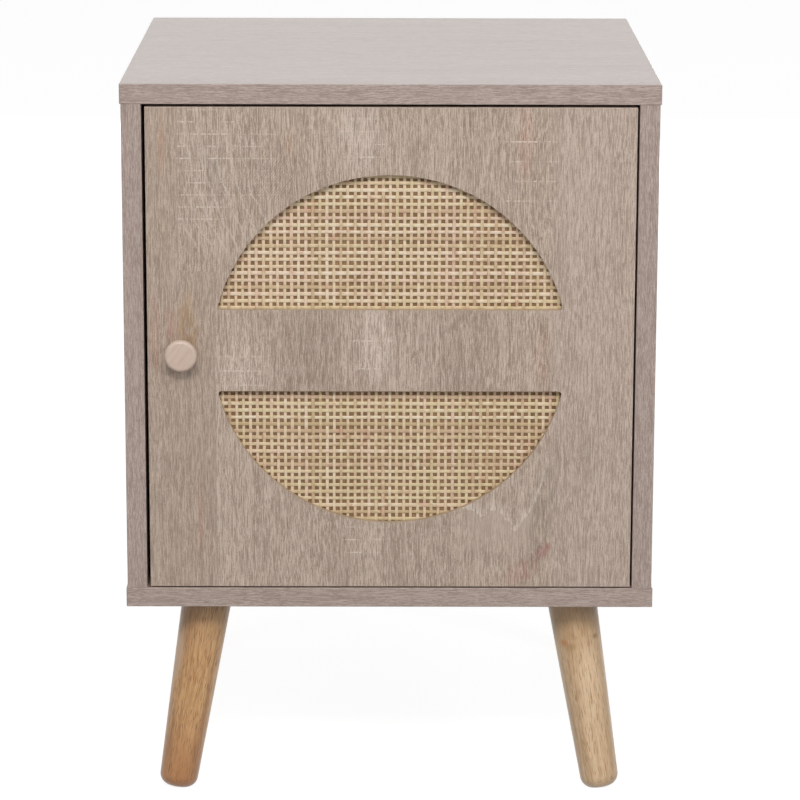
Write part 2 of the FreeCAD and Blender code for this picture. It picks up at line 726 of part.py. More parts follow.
keep("cane_webbing", round_sheet("cane_webbing", CANE_FRONT, BACKING_FRONT))
backing = round_sheet("cane_backing", BACKING_FRONT, BACKING_BACK)
remove(backing, "y", (f"{BACKING_BACK} - brad_head_height", f"{BACKING_BACK} + overrun"),
       *[disc(x, z, "(brad_head_radius + fit)") for x, z in brad_spots])
keep("cane_backing", backing)
brads = []
for x, z in brad_spots:
    head = rod("brad_head", "-y", (x, BACKING_BACK, z), "brad_head_radius", "brad_head_height")
    shank = rod("brad_shank", "-y", (x, BACKING_BACK, z), "brad_radius",
                "(backing_thickness + cane_thickness + brad_grip)")
    brads.append(fuse("brad", [head, shank]))
keep("cane_backing_brads", group("cane_backing_brads", brads))


# Knob and its screw from the back of the door

KNOB_OUTLINE = [("0", "0"), ("knob_stem_radius", "0"), ("knob_stem_radius", "knob_stem_length"),
                ("knob_back_radius", "knob_stem_length"), ("knob_radius", "knob_projection"),
                ("0", "knob_projection")]
knob_turning = turned("knob_turning", KNOB_OUTLINE)
round_rim(knob_turning, "knob_projection", "knob_radius", "knob_face_rounding")
round_rim(knob_turning, "knob_stem_length", "knob_back_radius", "knob_back_rounding")
knob_turning.Placement = FreeCAD.Placement(FreeCAD.Vector(), TURNS["-y"])
place(knob_turning, KNOB_X, FRONT, KNOB_Z)
knob_bore = rod("knob_bore", "-y", (KNOB_X, f"{FRONT} + overrun", KNOB_Z), "(knob_screw_radius + fit)",
                "(knob_screw_grip + overrun + fit)")
keep("door_knob", cut("door_knob", knob_turning, [knob_bore]))
knob_head = rod("knob_screw_head", "+y", (KNOB_X, DOOR_BACK, KNOB_Z), "knob_screw_head_radius",
                "knob_screw_head_height")
knob_shank = rod("knob_screw_shank", "-y", (KNOB_X, DOOR_BACK, KNOB_Z), "knob_screw_radius",
                 "(door_thickness + knob_screw_grip)")
keep("knob_screw", fuse("knob_screw", [knob_head, knob_shank]))


# Cup hinges. In plan: the outer link joins the arm to the cup near the door's edge, the inner link
# joins the arm's nose to the cup further in, and both bend round the door's edge when it is open.

CUP_FLOOR_Y = f"({DOOR_BACK} - cup_depth)"
RIM_Y = f"({DOOR_BACK} + rim_thickness)"
CUP_OUTER = (f"({DOOR_RIGHT} - outer_pivot_inset)", f"({DOOR_BACK} - outer_pivot_depth)")
CUP_INNER = (f"({CUP_OUTER[0]} - inner_pivot_step)", f"({DOOR_BACK} - inner_pivot_depth)")
ARM_OUTER = (f"({SIDE_INNER} - arm_outer_pivot_inset)", f"({DOOR_BACK} + arm_outer_pivot_height)")
ARM_INNER = (f"({SIDE_INNER} - arm_inner_pivot_inset)", f"({DOOR_BACK} + arm_inner_pivot_height)")
OUTER_ROUTE = [CUP_OUTER, (f"({CUP_OUTER[0]} - outer_bend_reach)", f"({CUP_OUTER[1]} - outer_bend_drop)"),
               (f"({CUP_OUTER[0]} - outer_heel_reach)", f"({CUP_OUTER[1]} - outer_heel_drop)"), ARM_OUTER]
INNER_ROUTE = [CUP_INNER, (f"({CUP_INNER[0]} - inner_bend_reach)", f"({CUP_INNER[1]} - inner_bend_drop)"),
               (f"({CUP_INNER[0]} - inner_heel_reach)", f"({CUP_INNER[1]} + inner_heel_rise)"), ARM_INNER]
ARM_X = f"({SIDE_INNER} - arm_standoff)"
ARM_ROUTE = [ARM_OUTER, (ARM_X, f"({DOOR_BACK} + arm_knee)"), (ARM_X, f"({DOOR_BACK} + arm_length)")]
ARM_FACE = f"({ARM_X} - arm_radius)"
WEB_BACK = f"({ARM_FACE} + arm_web)"
PIN_HOLE = "(pivot_radius + fit)"
RUNNING_HOLE = "(pivot_radius + pivot_play)"
CUP_PIN_EDGE = "(cup_inset - outer_pivot_inset + pivot_radius)"
CUP_PIN_HALF = f"(sqrt(pow(cup_radius; 2) - pow({CUP_PIN_EDGE}; 2)) - cup_pin_cover)"


def shifted(points):
    """A plan route moved towards the side board and the door."""
    return [(f"({x} + arm_web)", f"({y} - arm_slot_lead)") for x, y in points]


def hinge_cup(label, height):
    """Pressed cup with a screwed flange, pin holes, and two ears beside the inner link."""
    shell = rod(f"{label}_shell", "+y", (CUP_X, CUP_FLOOR_Y, height), "cup_radius", "cup_depth")
    rim = rod(f"{label}_rim", "+y", (CUP_X, DOOR_BACK, height), "(cup_radius + rim_width)", "rim_thickness")
    flange_x = (f"({CUP_SCREW_X} - cup_flange_radius)", f"({CUP_SCREW_X} + cup_flange_radius)")
    spots = [(CUP_SCREW_X, f"({height} + {side} * cup_screw_spacing / 2)") for side in (-1, 1)]
    flange = box(f"{label}_flange", flange_x, (DOOR_BACK, RIM_Y), [z for x, z in spots])
    ends = [rod(f"{label}_flange_end", "+y", (x, DOOR_BACK, z), "cup_flange_radius", "rim_thickness")
            for x, z in spots]
    blank = fuse(f"{label}_blank", [shell, rim, flange] + ends)
    hollow = rod(f"{label}_hollow", "+y", (CUP_X, f"{CUP_FLOOR_Y} + cup_floor", height),
                 "(cup_radius - cup_wall)", "(cup_depth + overrun)")
    pin_room = rod(f"{label}_pin_room", "+z", (*CUP_OUTER, f"{height} - {CUP_PIN_HALF} - fit"), PIN_HOLE,
                   f"(2 * ({CUP_PIN_HALF} + fit))")
    holes = [screw_room(f"{label}_screw_room", "-y", (x, RIM_Y, z), "cup_screw_radius", "cup_screw_length",
                        "cup_screw_radius", "rim_thickness") for x, z in spots]
    opened = cut(f"{label}_opened", blank, [hollow, pin_room] + holes)
    ears = []
    ear_x = (f"({CUP_INNER[0]} - cup_ear_radius)", f"({CUP_INNER[0]} + cup_ear_radius)")
    ear_y = (f"({CUP_FLOOR_Y} + cup_floor / 2)", CUP_INNER[1])
    for low, high in (("cup_ear_near", "arm_half_width"), ("(-arm_half_width)", "(-cup_ear_near)")):
        span = (f"({height} + {low})", f"({height} + {high})")
        ears.append(rod(f"{label}_ear_top", "+z", (*CUP_INNER, span[0]), "cup_ear_radius",
                        f"{span[1]} - {span[0]}"))
        ears.append(box(f"{label}_ear", ear_x, ear_y, span))
    return keep(label, fuse(label, [opened] + ears))


def outer_link(label, height):
    """Two cheek plates that turn on the arm's and the cup's pins."""
    plates = []
    for low, high in (("outer_link_near", "outer_link_far"), ("(-outer_link_far)", "(-outer_link_near)")):
        span = (f"({height} + {low})", f"({height} + {high})")
        bar = strip(f"{label}_bar", OUTER_ROUTE, "(link_thickness / 2)", *span)
        thickness = f"{span[1]} - {span[0]}"
        eyes = [rod(f"{label}_eye", "+z", (*spot, span[0]), "eye_radius", thickness)
                for spot in (CUP_OUTER, ARM_OUTER)]
        holes = [rod(f"{label}_hole", "+z", (*spot, f"{span[0]} - overrun"), RUNNING_HOLE,
                     f"({thickness} + 2 * overrun)") for spot in (CUP_OUTER, ARM_OUTER)]
        plates.append(cut(f"{label}_plate", fuse(f"{label}_blank", [bar] + eyes), holes))
    return keep(label, group(label, plates))


def inner_link(label, height):
    """One solid link between the arm's cheeks, holding its own pin at the cup end."""
    span = (f"({height} - inner_link_half_width)", f"({height} + inner_link_half_width)")
    bar = strip(f"{label}_bar", INNER_ROUTE, "(link_thickness / 2)", *span)
    width = "(2 * inner_link_half_width)"
    eyes = [rod(f"{label}_eye", "+z", (*spot, span[0]), "eye_radius", width)
            for spot in (CUP_INNER, ARM_INNER)]
    holes = [rod(f"{label}_hole", "+z", (*spot, f"{span[0]} - overrun"), hole, f"({width} + 2 * overrun)")
             for spot, hole in ((CUP_INNER, PIN_HOLE), (ARM_INNER, RUNNING_HOLE))]
    return keep(label, cut(label, fuse(f"{label}_blank", [bar] + eyes), holes))


def hinge_arm(label, height):
    """Cranked channel from the mounting plate to the two fixed pivots."""
    span = (f"({height} - arm_half_width)", f"({height} + arm_half_width)")
    slot = (f"({height} - arm_slot_half_width)", f"({height} + arm_slot_half_width)")
    nose = strip(f"{label}_nose", [ARM_INNER, ARM_OUTER], "arm_nose_radius", *span)
    crank = strip(f"{label}_crank", ARM_ROUTE, "arm_radius", *span)
    blank = fuse(f"{label}_blank", [nose, crank])
    tools = [strip(f"{label}_nose_slot", shifted([ARM_INNER, ARM_OUTER]), "arm_nose_radius", *slot),
             strip(f"{label}_slot", shifted(ARM_ROUTE), "arm_radius", *slot),
             box(f"{label}_tail_slot", (WEB_BACK, f"({SIDE_INNER} - plate_thickness)"),
                 (f"({DOOR_BACK} + arm_knee)", f"({DOOR_BACK} + arm_length + arm_radius + overrun)"), slot),
             rod(f"{label}_eye_room", "+z", (*ARM_INNER, slot[0]), "(eye_radius + arm_eye_play)",
                 "(2 * arm_slot_half_width)")]
    for spot in (ARM_OUTER, ARM_INNER):
        tools.append(rod(f"{label}_pin_hole", "+z", (*spot, f"{span[0]} - overrun"), PIN_HOLE,
                         "(2 * (arm_half_width + overrun))"))
    for reach in ("arm_screw_front", "arm_screw_back"):
        mouth = (f"{ARM_FACE} - overrun", f"({DOOR_BACK} + {reach})", height)
        tools.append(rod(f"{label}_screw_hole", "+x", mouth, "(arm_screw_radius + fit)",
                         "(arm_web + 2 * overrun)"))
    return keep(label, cut(label, blank, tools))


def hinge_plate(label, height):
    """Plate screwed to the side board, with wings for its screws and a rib under the arm."""
    base_x = (f"({SIDE_INNER} - plate_thickness)", SIDE_INNER)
    wing_y = f"({DOOR_BACK} + wing_reach)"
    base = box(f"{label}_base", base_x, (f"({DOOR_BACK} + plate_start)", f"({DOOR_BACK} + plate_reach)"),
               (f"({height} - arm_half_width)", f"({height} + arm_half_width)"))
    wings = box(f"{label}_wings", base_x,
                (f"({wing_y} - wing_half_length)", f"({wing_y} + wing_half_length)"),
                (f"({height} - wing_half_height)", f"({height} + wing_half_height)"))
    half = "(arm_slot_half_width - rib_play)"
    rib = box(f"{label}_rib", (WEB_BACK, f"({SIDE_INNER} - plate_thickness / 2)"),
              (f"({DOOR_BACK} + rib_start)", f"({DOOR_BACK} + plate_reach)"),
              (f"({height} - {half})", f"({height} + {half})"))
    heads = [(base_x[0], wing_y, f"({height} + {side} * plate_screw_spacing / 2)") for side in (-1, 1)]
    holes = [screw_room(f"{label}_hole", "+x", head, "plate_screw_radius", "plate_screw_length",
                        "plate_screw_head_radius", "plate_screw_head_height") for head in heads]
    for reach in ("arm_screw_front", "arm_screw_back"):
        mouth = (f"{WEB_BACK} - overrun", f"({DOOR_BACK} + {reach})", height)
        holes.append(rod(f"{label}_thread", "+x", mouth, "(arm_screw_radius + fit)",
                         "(arm_screw_length - arm_web + overrun + fit)"))
    return keep(label, cut(label, fuse(f"{label}_blank", [base, wings, rib]), holes))


cup_pins = []
arm_pins = []
inner_pins = []
cup_screws = []
plate_screws = []
arm_screws = []
plate_screw_holes = []
for level, height in HINGE_HEIGHTS.items():
    hinge_cup(f"hinge_cup_{level}", height)
    outer_link(f"hinge_outer_link_{level}", height)
    inner_link(f"hinge_inner_link_{level}", height)
    hinge_arm(f"hinge_arm_{level}", height)
    hinge_plate(f"hinge_plate_{level}", height)
    for heading, sign in (("+z", "+"), ("-z", "-")):
        cup_pins.append(rod("cup_pin", heading, (*CUP_OUTER, f"{height} {sign} arm_half_width"),
                            "pivot_radius", f"({CUP_PIN_HALF} - arm_half_width)"))
    arm_pins.append(rod("arm_outer_pin", "+z", (*ARM_OUTER, f"{height} - outer_link_far"),
                        "pivot_radius", "(2 * outer_link_far)"))
    arm_pins.append(rod("arm_inner_pin", "+z", (*ARM_INNER, f"{height} - arm_half_width"),
                        "pivot_radius", "(2 * arm_half_width)"))
    inner_pins.append(rod("inner_link_pin", "+z", (*CUP_INNER, f"{height} - inner_link_half_width"),
                          "pivot_radius", "(2 * inner_link_half_width)"))
    for side in (-1, 1):
        cup_head = (CUP_SCREW_X, f"{RIM_Y} + cup_screw_head_height",
                    f"({height} + {side} * cup_screw_spacing / 2)")
        cup_screws.append(screw("cup_screw", "-y", cup_head, "cup_screw_radius",
                                "(cup_screw_length + cup_screw_head_height)", "cup_screw_head_radius",
                                "cup_screw_head_height"))
        spot = (f"({DOOR_BACK} + wing_reach)", f"({height} + {side} * plate_screw_spacing / 2)")
        plate_screws.append(screw("plate_screw", "+x", (f"({SIDE_INNER} - plate_thickness)", *spot),
                                  "plate_screw_radius", "plate_screw_length", "plate_screw_head_radius",
                                  "plate_screw_head_height"))
        plate_screw_holes.append(disc(*spot, "(plate_screw_radius + fit)"))
    for reach in ("arm_screw_front", "arm_screw_back"):
        spot = (f"({DOOR_BACK} + {reach})", height)
        head = rod("arm_screw_head", "-x", (ARM_FACE, *spot), "arm_screw_head_radius",
                   "arm_screw_head_height")
        shank = rod("arm_screw_shank", "+x", (ARM_FACE, *spot), "arm_screw_radius", "arm_screw_length")
        arm_screws.append(fuse("arm_screw", [head, shank]))
plate_screw_end = f"{SIDE_INNER} - plate_thickness + plate_screw_length + fit"
remove(sides["right"], "x", (f"{SIDE_INNER} - overrun", plate_screw_end), *plate_screw_holes)
keep("hinge_cup_pins", group("hinge_cup_pins", cup_pins))
keep("hinge_arm_pins", group("hinge_arm_pins", arm_pins))
keep("hinge_inner_link_pins", group("hinge_inner_link_pins", inner_pins))
keep("hinge_cup_screws", group("hinge_cup_screws", cup_screws))
keep("hinge_plate_screws", group("hinge_plate_screws", plate_screws))
keep("hinge_arm_screws", group("hinge_arm_screws", arm_screws))


# Door stop under the top board, on the latch side

STOP_X = (f"({DOOR_LEFT} + stop_inset)", f"({DOOR_LEFT} + stop_inset + stop_width)")
STOP_FRONT = f"({DOOR_BACK} + stop_pad_play + stop_pad_thickness)"
STOP_LOW = f"({TOP_LOW} - stop_height)"
STOP_SPOT = (f"({STOP_X[0]} + stop_width / 2)", f"({STOP_FRONT} + stop_depth / 2)")
stop_block = box("stop_block", STOP_X, (STOP_FRONT, f"({STOP_FRONT} + stop_depth)"), (STOP_LOW, TOP_LOW))
STOP_SCREW = ("stop_screw_radius", "(stop_height + stop_screw_length)", "stop_screw_head_radius",
              "stop_screw_head_height")
stop_hole = screw_room("stop_hole", "+z", (*STOP_SPOT, STOP_LOW), *STOP_SCREW)
keep("door_stop", cut("door_stop", stop_block, [stop_hole]))
keep("door_stop_screw", screw("door_stop_screw", "+z", (*STOP_SPOT, STOP_LOW), *STOP_SCREW))
remove(top, "z", (f"{TOP_LOW} - overrun", f"{TOP_LOW} + stop_screw_length + fit"),
       disc(*STOP_SPOT, "(stop_screw_radius + fit)"))
PAD_X = (f"({STOP_X[0]} + stop_pad_margin)", f"({STOP_X[1]} - stop_pad_margin)")
PAD_Z = (f"({STOP_LOW} + stop_pad_margin)", f"({DOOR_HIGH} - stop_pad_margin)")
keep("door_stop_pad", box("door_stop_pad", PAD_X, (f"({DOOR_BACK} + stop_pad_play)", STOP_FRONT), PAD_Z))


# Check the whole document, then write each sub-part

doc.recompute()
for item in doc.Objects:
    if "Invalid" in item.State or "Error" in item.State:
        raise RuntimeError(f"{item.Label} failed: {item.State}")
    if item.TypeId == "PartDesign::Pocket" and item.Shape.Volume >= item.BaseFeature.Shape.Volume:
        raise RuntimeError(f"{item.Label} removes nothing")
for label, item in nodes.items():
    if item.Shape.isNull() or not item.Shape.isValid() or not item.Shape.Solids:
        raise RuntimeError(f"{label} is not a valid solid")

os.makedirs("parts", exist_ok=True)
for label, item in nodes.items():
    item.Shape.exportStep(f"parts/{label}.step")
    print(label, len(item.Shape.Solids), round(item.Shape.Volume))
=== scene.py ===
"""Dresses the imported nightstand: washed-oak boards, woven cane, turned legs and plated hinges."""
import logging
import math
import random
from abc import ABC, abstractmethod
from dataclasses import dataclass, field
from enum import Enum
from typing import Dict, List, Sequence, Tuple, Union

import bpy
from mathutils import Matrix, Vector


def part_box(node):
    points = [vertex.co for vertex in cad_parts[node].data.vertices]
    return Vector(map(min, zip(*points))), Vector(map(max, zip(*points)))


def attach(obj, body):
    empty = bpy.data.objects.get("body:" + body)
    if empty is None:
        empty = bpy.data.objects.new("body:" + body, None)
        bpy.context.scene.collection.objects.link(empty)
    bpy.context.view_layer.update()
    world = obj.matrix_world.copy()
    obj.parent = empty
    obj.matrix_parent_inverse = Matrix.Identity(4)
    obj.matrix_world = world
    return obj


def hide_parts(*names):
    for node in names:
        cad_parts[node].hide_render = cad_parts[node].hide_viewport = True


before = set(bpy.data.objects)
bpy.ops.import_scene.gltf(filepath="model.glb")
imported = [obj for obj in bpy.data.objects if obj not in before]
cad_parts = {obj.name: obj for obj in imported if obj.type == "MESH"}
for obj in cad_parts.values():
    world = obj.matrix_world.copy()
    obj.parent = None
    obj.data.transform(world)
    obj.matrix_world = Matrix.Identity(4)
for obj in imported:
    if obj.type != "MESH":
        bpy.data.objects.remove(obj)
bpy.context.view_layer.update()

LOG = logging.getLogger("nightstand")

Socket = bpy.types.NodeSocket
Value = Union[float, Socket]
Triple = Tuple[float, float, float]


class Side(Enum):
    """A side of the nightstand, with its sign along x."""

    LEFT = -1
    RIGHT = 1


class Row(Enum):
    """A row of legs, with its sign along y."""

    FRONT = -1
    REAR = 1


class Lay(Enum):
    """The way that a strand of cane lies, with the sign of its first wave."""

    LEVEL = 1
    UPRIGHT = -1


class Grain(Enum):
    """The axis that a board's grain runs along."""

    WIDTH = 0
    HEIGHT = 2


def tone(red: float, green: float, blue: float) -> Tuple[float, float, float, float]:
    """Turns a display colour into the linear one that shaders use.

    Args:
        red: Red from 0 to 255.
        green: Green from 0 to 255.
        blue: Blue from 0 to 255.

    Returns:
        The linear colour with full alpha.
    """
    def linear(level: float) -> float:
        """Undoes the display curve for one channel."""
        share = level / 255.0
        return share / 12.92 if share <= 0.04045 else ((share + 0.055) / 1.055) ** 2.4

    return (linear(red), linear(green), linear(blue), 1.0)


class Graph:
    """The nodes of one material, with a principled shader at its end."""

    def __init__(self, name: str) -> None:
        """Starts an empty material.

        Args:
            name: The material's name.
        """
        self.material = bpy.data.materials.new(name)
        self.material.use_nodes = True
        self.tree = self.material.node_tree
        self.tree.nodes.clear()
        self.shader = self.add("ShaderNodeBsdfPrincipled")
        self.output = self.add("ShaderNodeOutputMaterial")
        self.tree.links.new(self.shader.outputs["BSDF"], self.output.inputs["Surface"])

    def add(self, kind: str, **settings: object) -> bpy.types.Node:
        """Adds a node.

        Args:
            kind: The node's type name.
            **settings: Properties to set on it.

        Returns:
            The new node.
        """
        node = self.tree.nodes.new(kind)
        for key, setting in settings.items():
            setattr(node, key, setting)
        return node

    def feed(self, socket: Socket, value: object) -> None:
        """Links a socket to another, or sets its constant.

        Args:
            socket: The input to feed.
            value: An output socket or a constant.
        """
        if isinstance(value, bpy.types.NodeSocket):
            self.tree.links.new(value, socket)
        else:
            socket.default_value = value

    def place(self) -> Socket:
        """Gives the point on the piece as it stands at rest."""
        return self.add("ShaderNodeTexCoord").outputs["Object"]

    def attribute(self, name: str) -> Socket:
        """Gives a number stored on the mesh."""
        return self.add("ShaderNodeAttribute", attribute_name=name).outputs["Fac"]

    def mapped(self, vector: Socket, scale: Triple = (1, 1, 1), shift: Triple = (0, 0, 0),
               turn: Triple = (0, 0, 0)) -> Socket:
        """Scales, turns and shifts a point.

        Args:
            vector: The point.
            scale: Factors for its three parts.
            shift: What is added last.
            turn: Turn about each axis, in radians.

        Returns:
            The new point.
        """
        node = self.add("ShaderNodeMapping")
        self.feed(node.inputs["Vector"], vector)
        node.inputs["Scale"].default_value = scale
        node.inputs["Location"].default_value = shift
        node.inputs["Rotation"].default_value = turn
        return node.outputs["Vector"]

    def parts(self, vector: Socket) -> Tuple[Socket, Socket, Socket]:
        """Splits a point into its three numbers.

        Args:
            vector: The point.

        Returns:
            Its x, y and z.
        """
        node = self.add("ShaderNodeSeparateXYZ")
        self.feed(node.inputs[0], vector)
        return node.outputs[0], node.outputs[1], node.outputs[2]

    def joined(self, first: Value, second: Value, third: Value) -> Socket:
        """Makes a point from three numbers.

        Args:
            first: Its x.
            second: Its y.
            third: Its z.

        Returns:
            The point.
        """
        node = self.add("ShaderNodeCombineXYZ")
        for socket, value in zip(node.inputs, (first, second, third)):
            self.feed(socket, value)
        return node.outputs[0]

    def noise(self, vector: Socket, scale: float, detail: float = 2.0, rough: float = 0.5,
              bend: float = 0.0) -> Socket:
        """Gives smooth noise from 0 to 1.

        Args:
            vector: The point to read it at.
            scale: Features for each unit of the point.
            detail: How many finer layers it has.
            rough: How strong the finer layers are.
            bend: How far the noise bends itself.

        Returns:
            The noise.
        """
        node = self.add("ShaderNodeTexNoise", noise_dimensions="3D")
        self.feed(node.inputs["Vector"], vector)
        for key, value in (("Scale", scale), ("Detail", detail), ("Roughness", rough), ("Distortion", bend)):
            node.inputs[key].default_value = value
        return node.outputs["Fac"]

    def math(self, work: str, first: Value, second: Value = 0.0, clamp: bool = False) -> Socket:
        """Does sums on one or two numbers.

        Args:
            work: The sum's name.
            first: The first number.
            second: The second number.
            clamp: Whether the result is held from 0 to 1.

        Returns:
            The result.
        """
        node = self.add("ShaderNodeMath", operation=work, use_clamp=clamp)
        self.feed(node.inputs[0], first)
        self.feed(node.inputs[1], second)
        return node.outputs[0]

    def times(self, *values: Value) -> Socket:
        """Multiplies numbers.

        Args:
            *values: Two or more numbers.

        Returns:
            Their product.
        """
        result = values[0]
        for value in values[1:]:
            result = self.math("MULTIPLY", result, value)
        return result

    def plus(self, first: Value, second: Value) -> Socket:
        """Adds two numbers."""
        return self.math("ADD", first, second)

    def minus(self, first: Value, second: Value) -> Socket:
        """Takes the second number from the first."""
        return self.math("SUBTRACT", first, second)

    def step(self, value: Value, low: float, high: float, bottom: float = 0.0, top: float = 1.0) -> Socket:
        """Maps a number smoothly from one span to another.

        Args:
            value: The number.
            low: Where the step starts.
            high: Where it ends.
            bottom: The result at its start.
            top: The result at its end.

        Returns:
            The result.
        """
        node = self.add("ShaderNodeMapRange", interpolation_type="SMOOTHSTEP")
        self.feed(node.inputs["Value"], value)
        for key, number in (("From Min", low), ("From Max", high), ("To Min", bottom), ("To Max", top)):
            node.inputs[key].default_value = number
        return node.outputs["Result"]

    def window(self, value: Value, low: float, high: float, soft: float) -> Socket:
        """Gives 1 between two levels and 0 outside, with soft ends.

        Args:
            value: The number to test.
            low: The lower level.
            high: The upper level.
            soft: Half the width of each end.

        Returns:
            The result.
        """
        rise = self.step(value, low - soft, low + soft)
        fall = self.step(value, high - soft, high + soft, 1.0, 0.0)
        return self.times(rise, fall)

    def pushed(self, point: Socket, way: Triple, amount: Value) -> Socket:
        """Moves a point some way in a direction.

        Args:
            point: The point.
            way: The direction.
            amount: How far along it.

        Returns:
            The new point.
        """
        node = self.add("ShaderNodeVectorMath", operation="MULTIPLY_ADD")
        for socket, value in zip(node.inputs, (amount, way, point)):
            self.feed(socket, value)
        return node.outputs[0]

    def total(self, *shares: Tuple[Socket, float]) -> Socket:
        """Adds numbers up, each with its own share.

        Args:
            *shares: Numbers with their shares.

        Returns:
            The sum.
        """
        result = self.times(*shares[0])
        for value, share in shares[1:]:
            result = self.plus(result, self.times(value, share))
        return result

    def oval(self, across: Socket, along: Socket, middle: Tuple[float, float], size: Tuple[float, float],
             lean: float = 0.0) -> Socket:
        """Gives 1 in the middle of an oval, falling to 0 at its rim.

        Args:
            across: Place across the board.
            along: Place along the board.
            middle: The oval's middle.
            size: Its half width and half height.
            lean: How far it leans to the side for each unit of height.

        Returns:
            The soft oval.
        """
        rise = self.minus(along, middle[1])
        side = self.minus(self.minus(across, middle[0]), self.times(rise, lean))
        side = self.math("DIVIDE", side, size[0])
        rise = self.math("DIVIDE", rise, size[1])
        away = self.plus(self.times(side, side), self.times(rise, rise))
        return self.step(away, 0.0, 1.0, 1.0, 0.0)

    def ramp(self, value: Value, stops: Sequence[Tuple[float, Tuple[float, ...]]]) -> Socket:
        """Picks a colour along a row of stops.

        Args:
            value: Where along the row, from 0 to 1.
            stops: Places and colours.

        Returns:
            The colour.
        """
        node = self.add("ShaderNodeValToRGB")
        self.feed(node.inputs["Fac"], value)
        row = node.color_ramp.elements
        while len(row) < len(stops):
            row.new(0.5)
        for item, (place, colour) in zip(row, stops):
            item.position = place
            item.color = colour
        return node.outputs["Color"]

    def wood(self, value: Value, dark: Triple, middle: Triple, pale: Triple) -> Socket:
        """Picks a wood colour, with the middle one at a half.

        Args:
            value: Where between dark and pale, from 0 to 1.
            dark: The dark colour.
            middle: The middle colour.
            pale: The pale colour.

        Returns:
            The colour.
        """
        return self.ramp(value, ((0.38, tone(*dark)), (0.5, tone(*middle)), (0.62, tone(*pale))))

    def mix(self, share: Value, first: object, second: object, blend: str = "MIX") -> Socket:
        """Mixes two colours.

        Args:
            share: How much of the second, from 0 to 1.
            first: The first colour.
            second: The second colour.
            blend: How they mix.

        Returns:
            The mixed colour.
        """
        node = self.add("ShaderNodeMix", data_type="RGBA", blend_type=blend)
        self.feed(node.inputs[0], share)
        self.feed(node.inputs[6], first)
        self.feed(node.inputs[7], second)
        return node.outputs[2]

    def bump(self, height: Socket, depth: float, strength: float = 1.0) -> None:
        """Raises the surface by a height map.

        Args:
            height: The map.
            depth: How high a full step stands, in metres.
            strength: How much of it counts.
        """
        node = self.add("ShaderNodeBump")
        node.inputs["Strength"].default_value = strength
        node.inputs["Distance"].default_value = depth
        self.feed(node.inputs["Height"], height)
        self.feed(self.shader.inputs["Normal"], node.outputs["Normal"])

    def surface(self, **sockets: object) -> None:
        """Sets inputs of the shader, with underscores for the spaces of their names."""
        for key, value in sockets.items():
            self.feed(self.shader.inputs[key.replace("_", " ")], value)


class Finish(ABC):
    """A surface that can be made into a material."""

    @abstractmethod
    def material(self) -> bpy.types.Material:
        """Makes the material."""


@dataclass(frozen=True)
class Streak:
    """A layer of streaks, with its squeeze along the grain and its share in the print."""

    squeeze: float
    fineness: float
    layers: float = 2.0
    rough: float = 0.5
    bend: float = 0.0
    share: float = 1.0


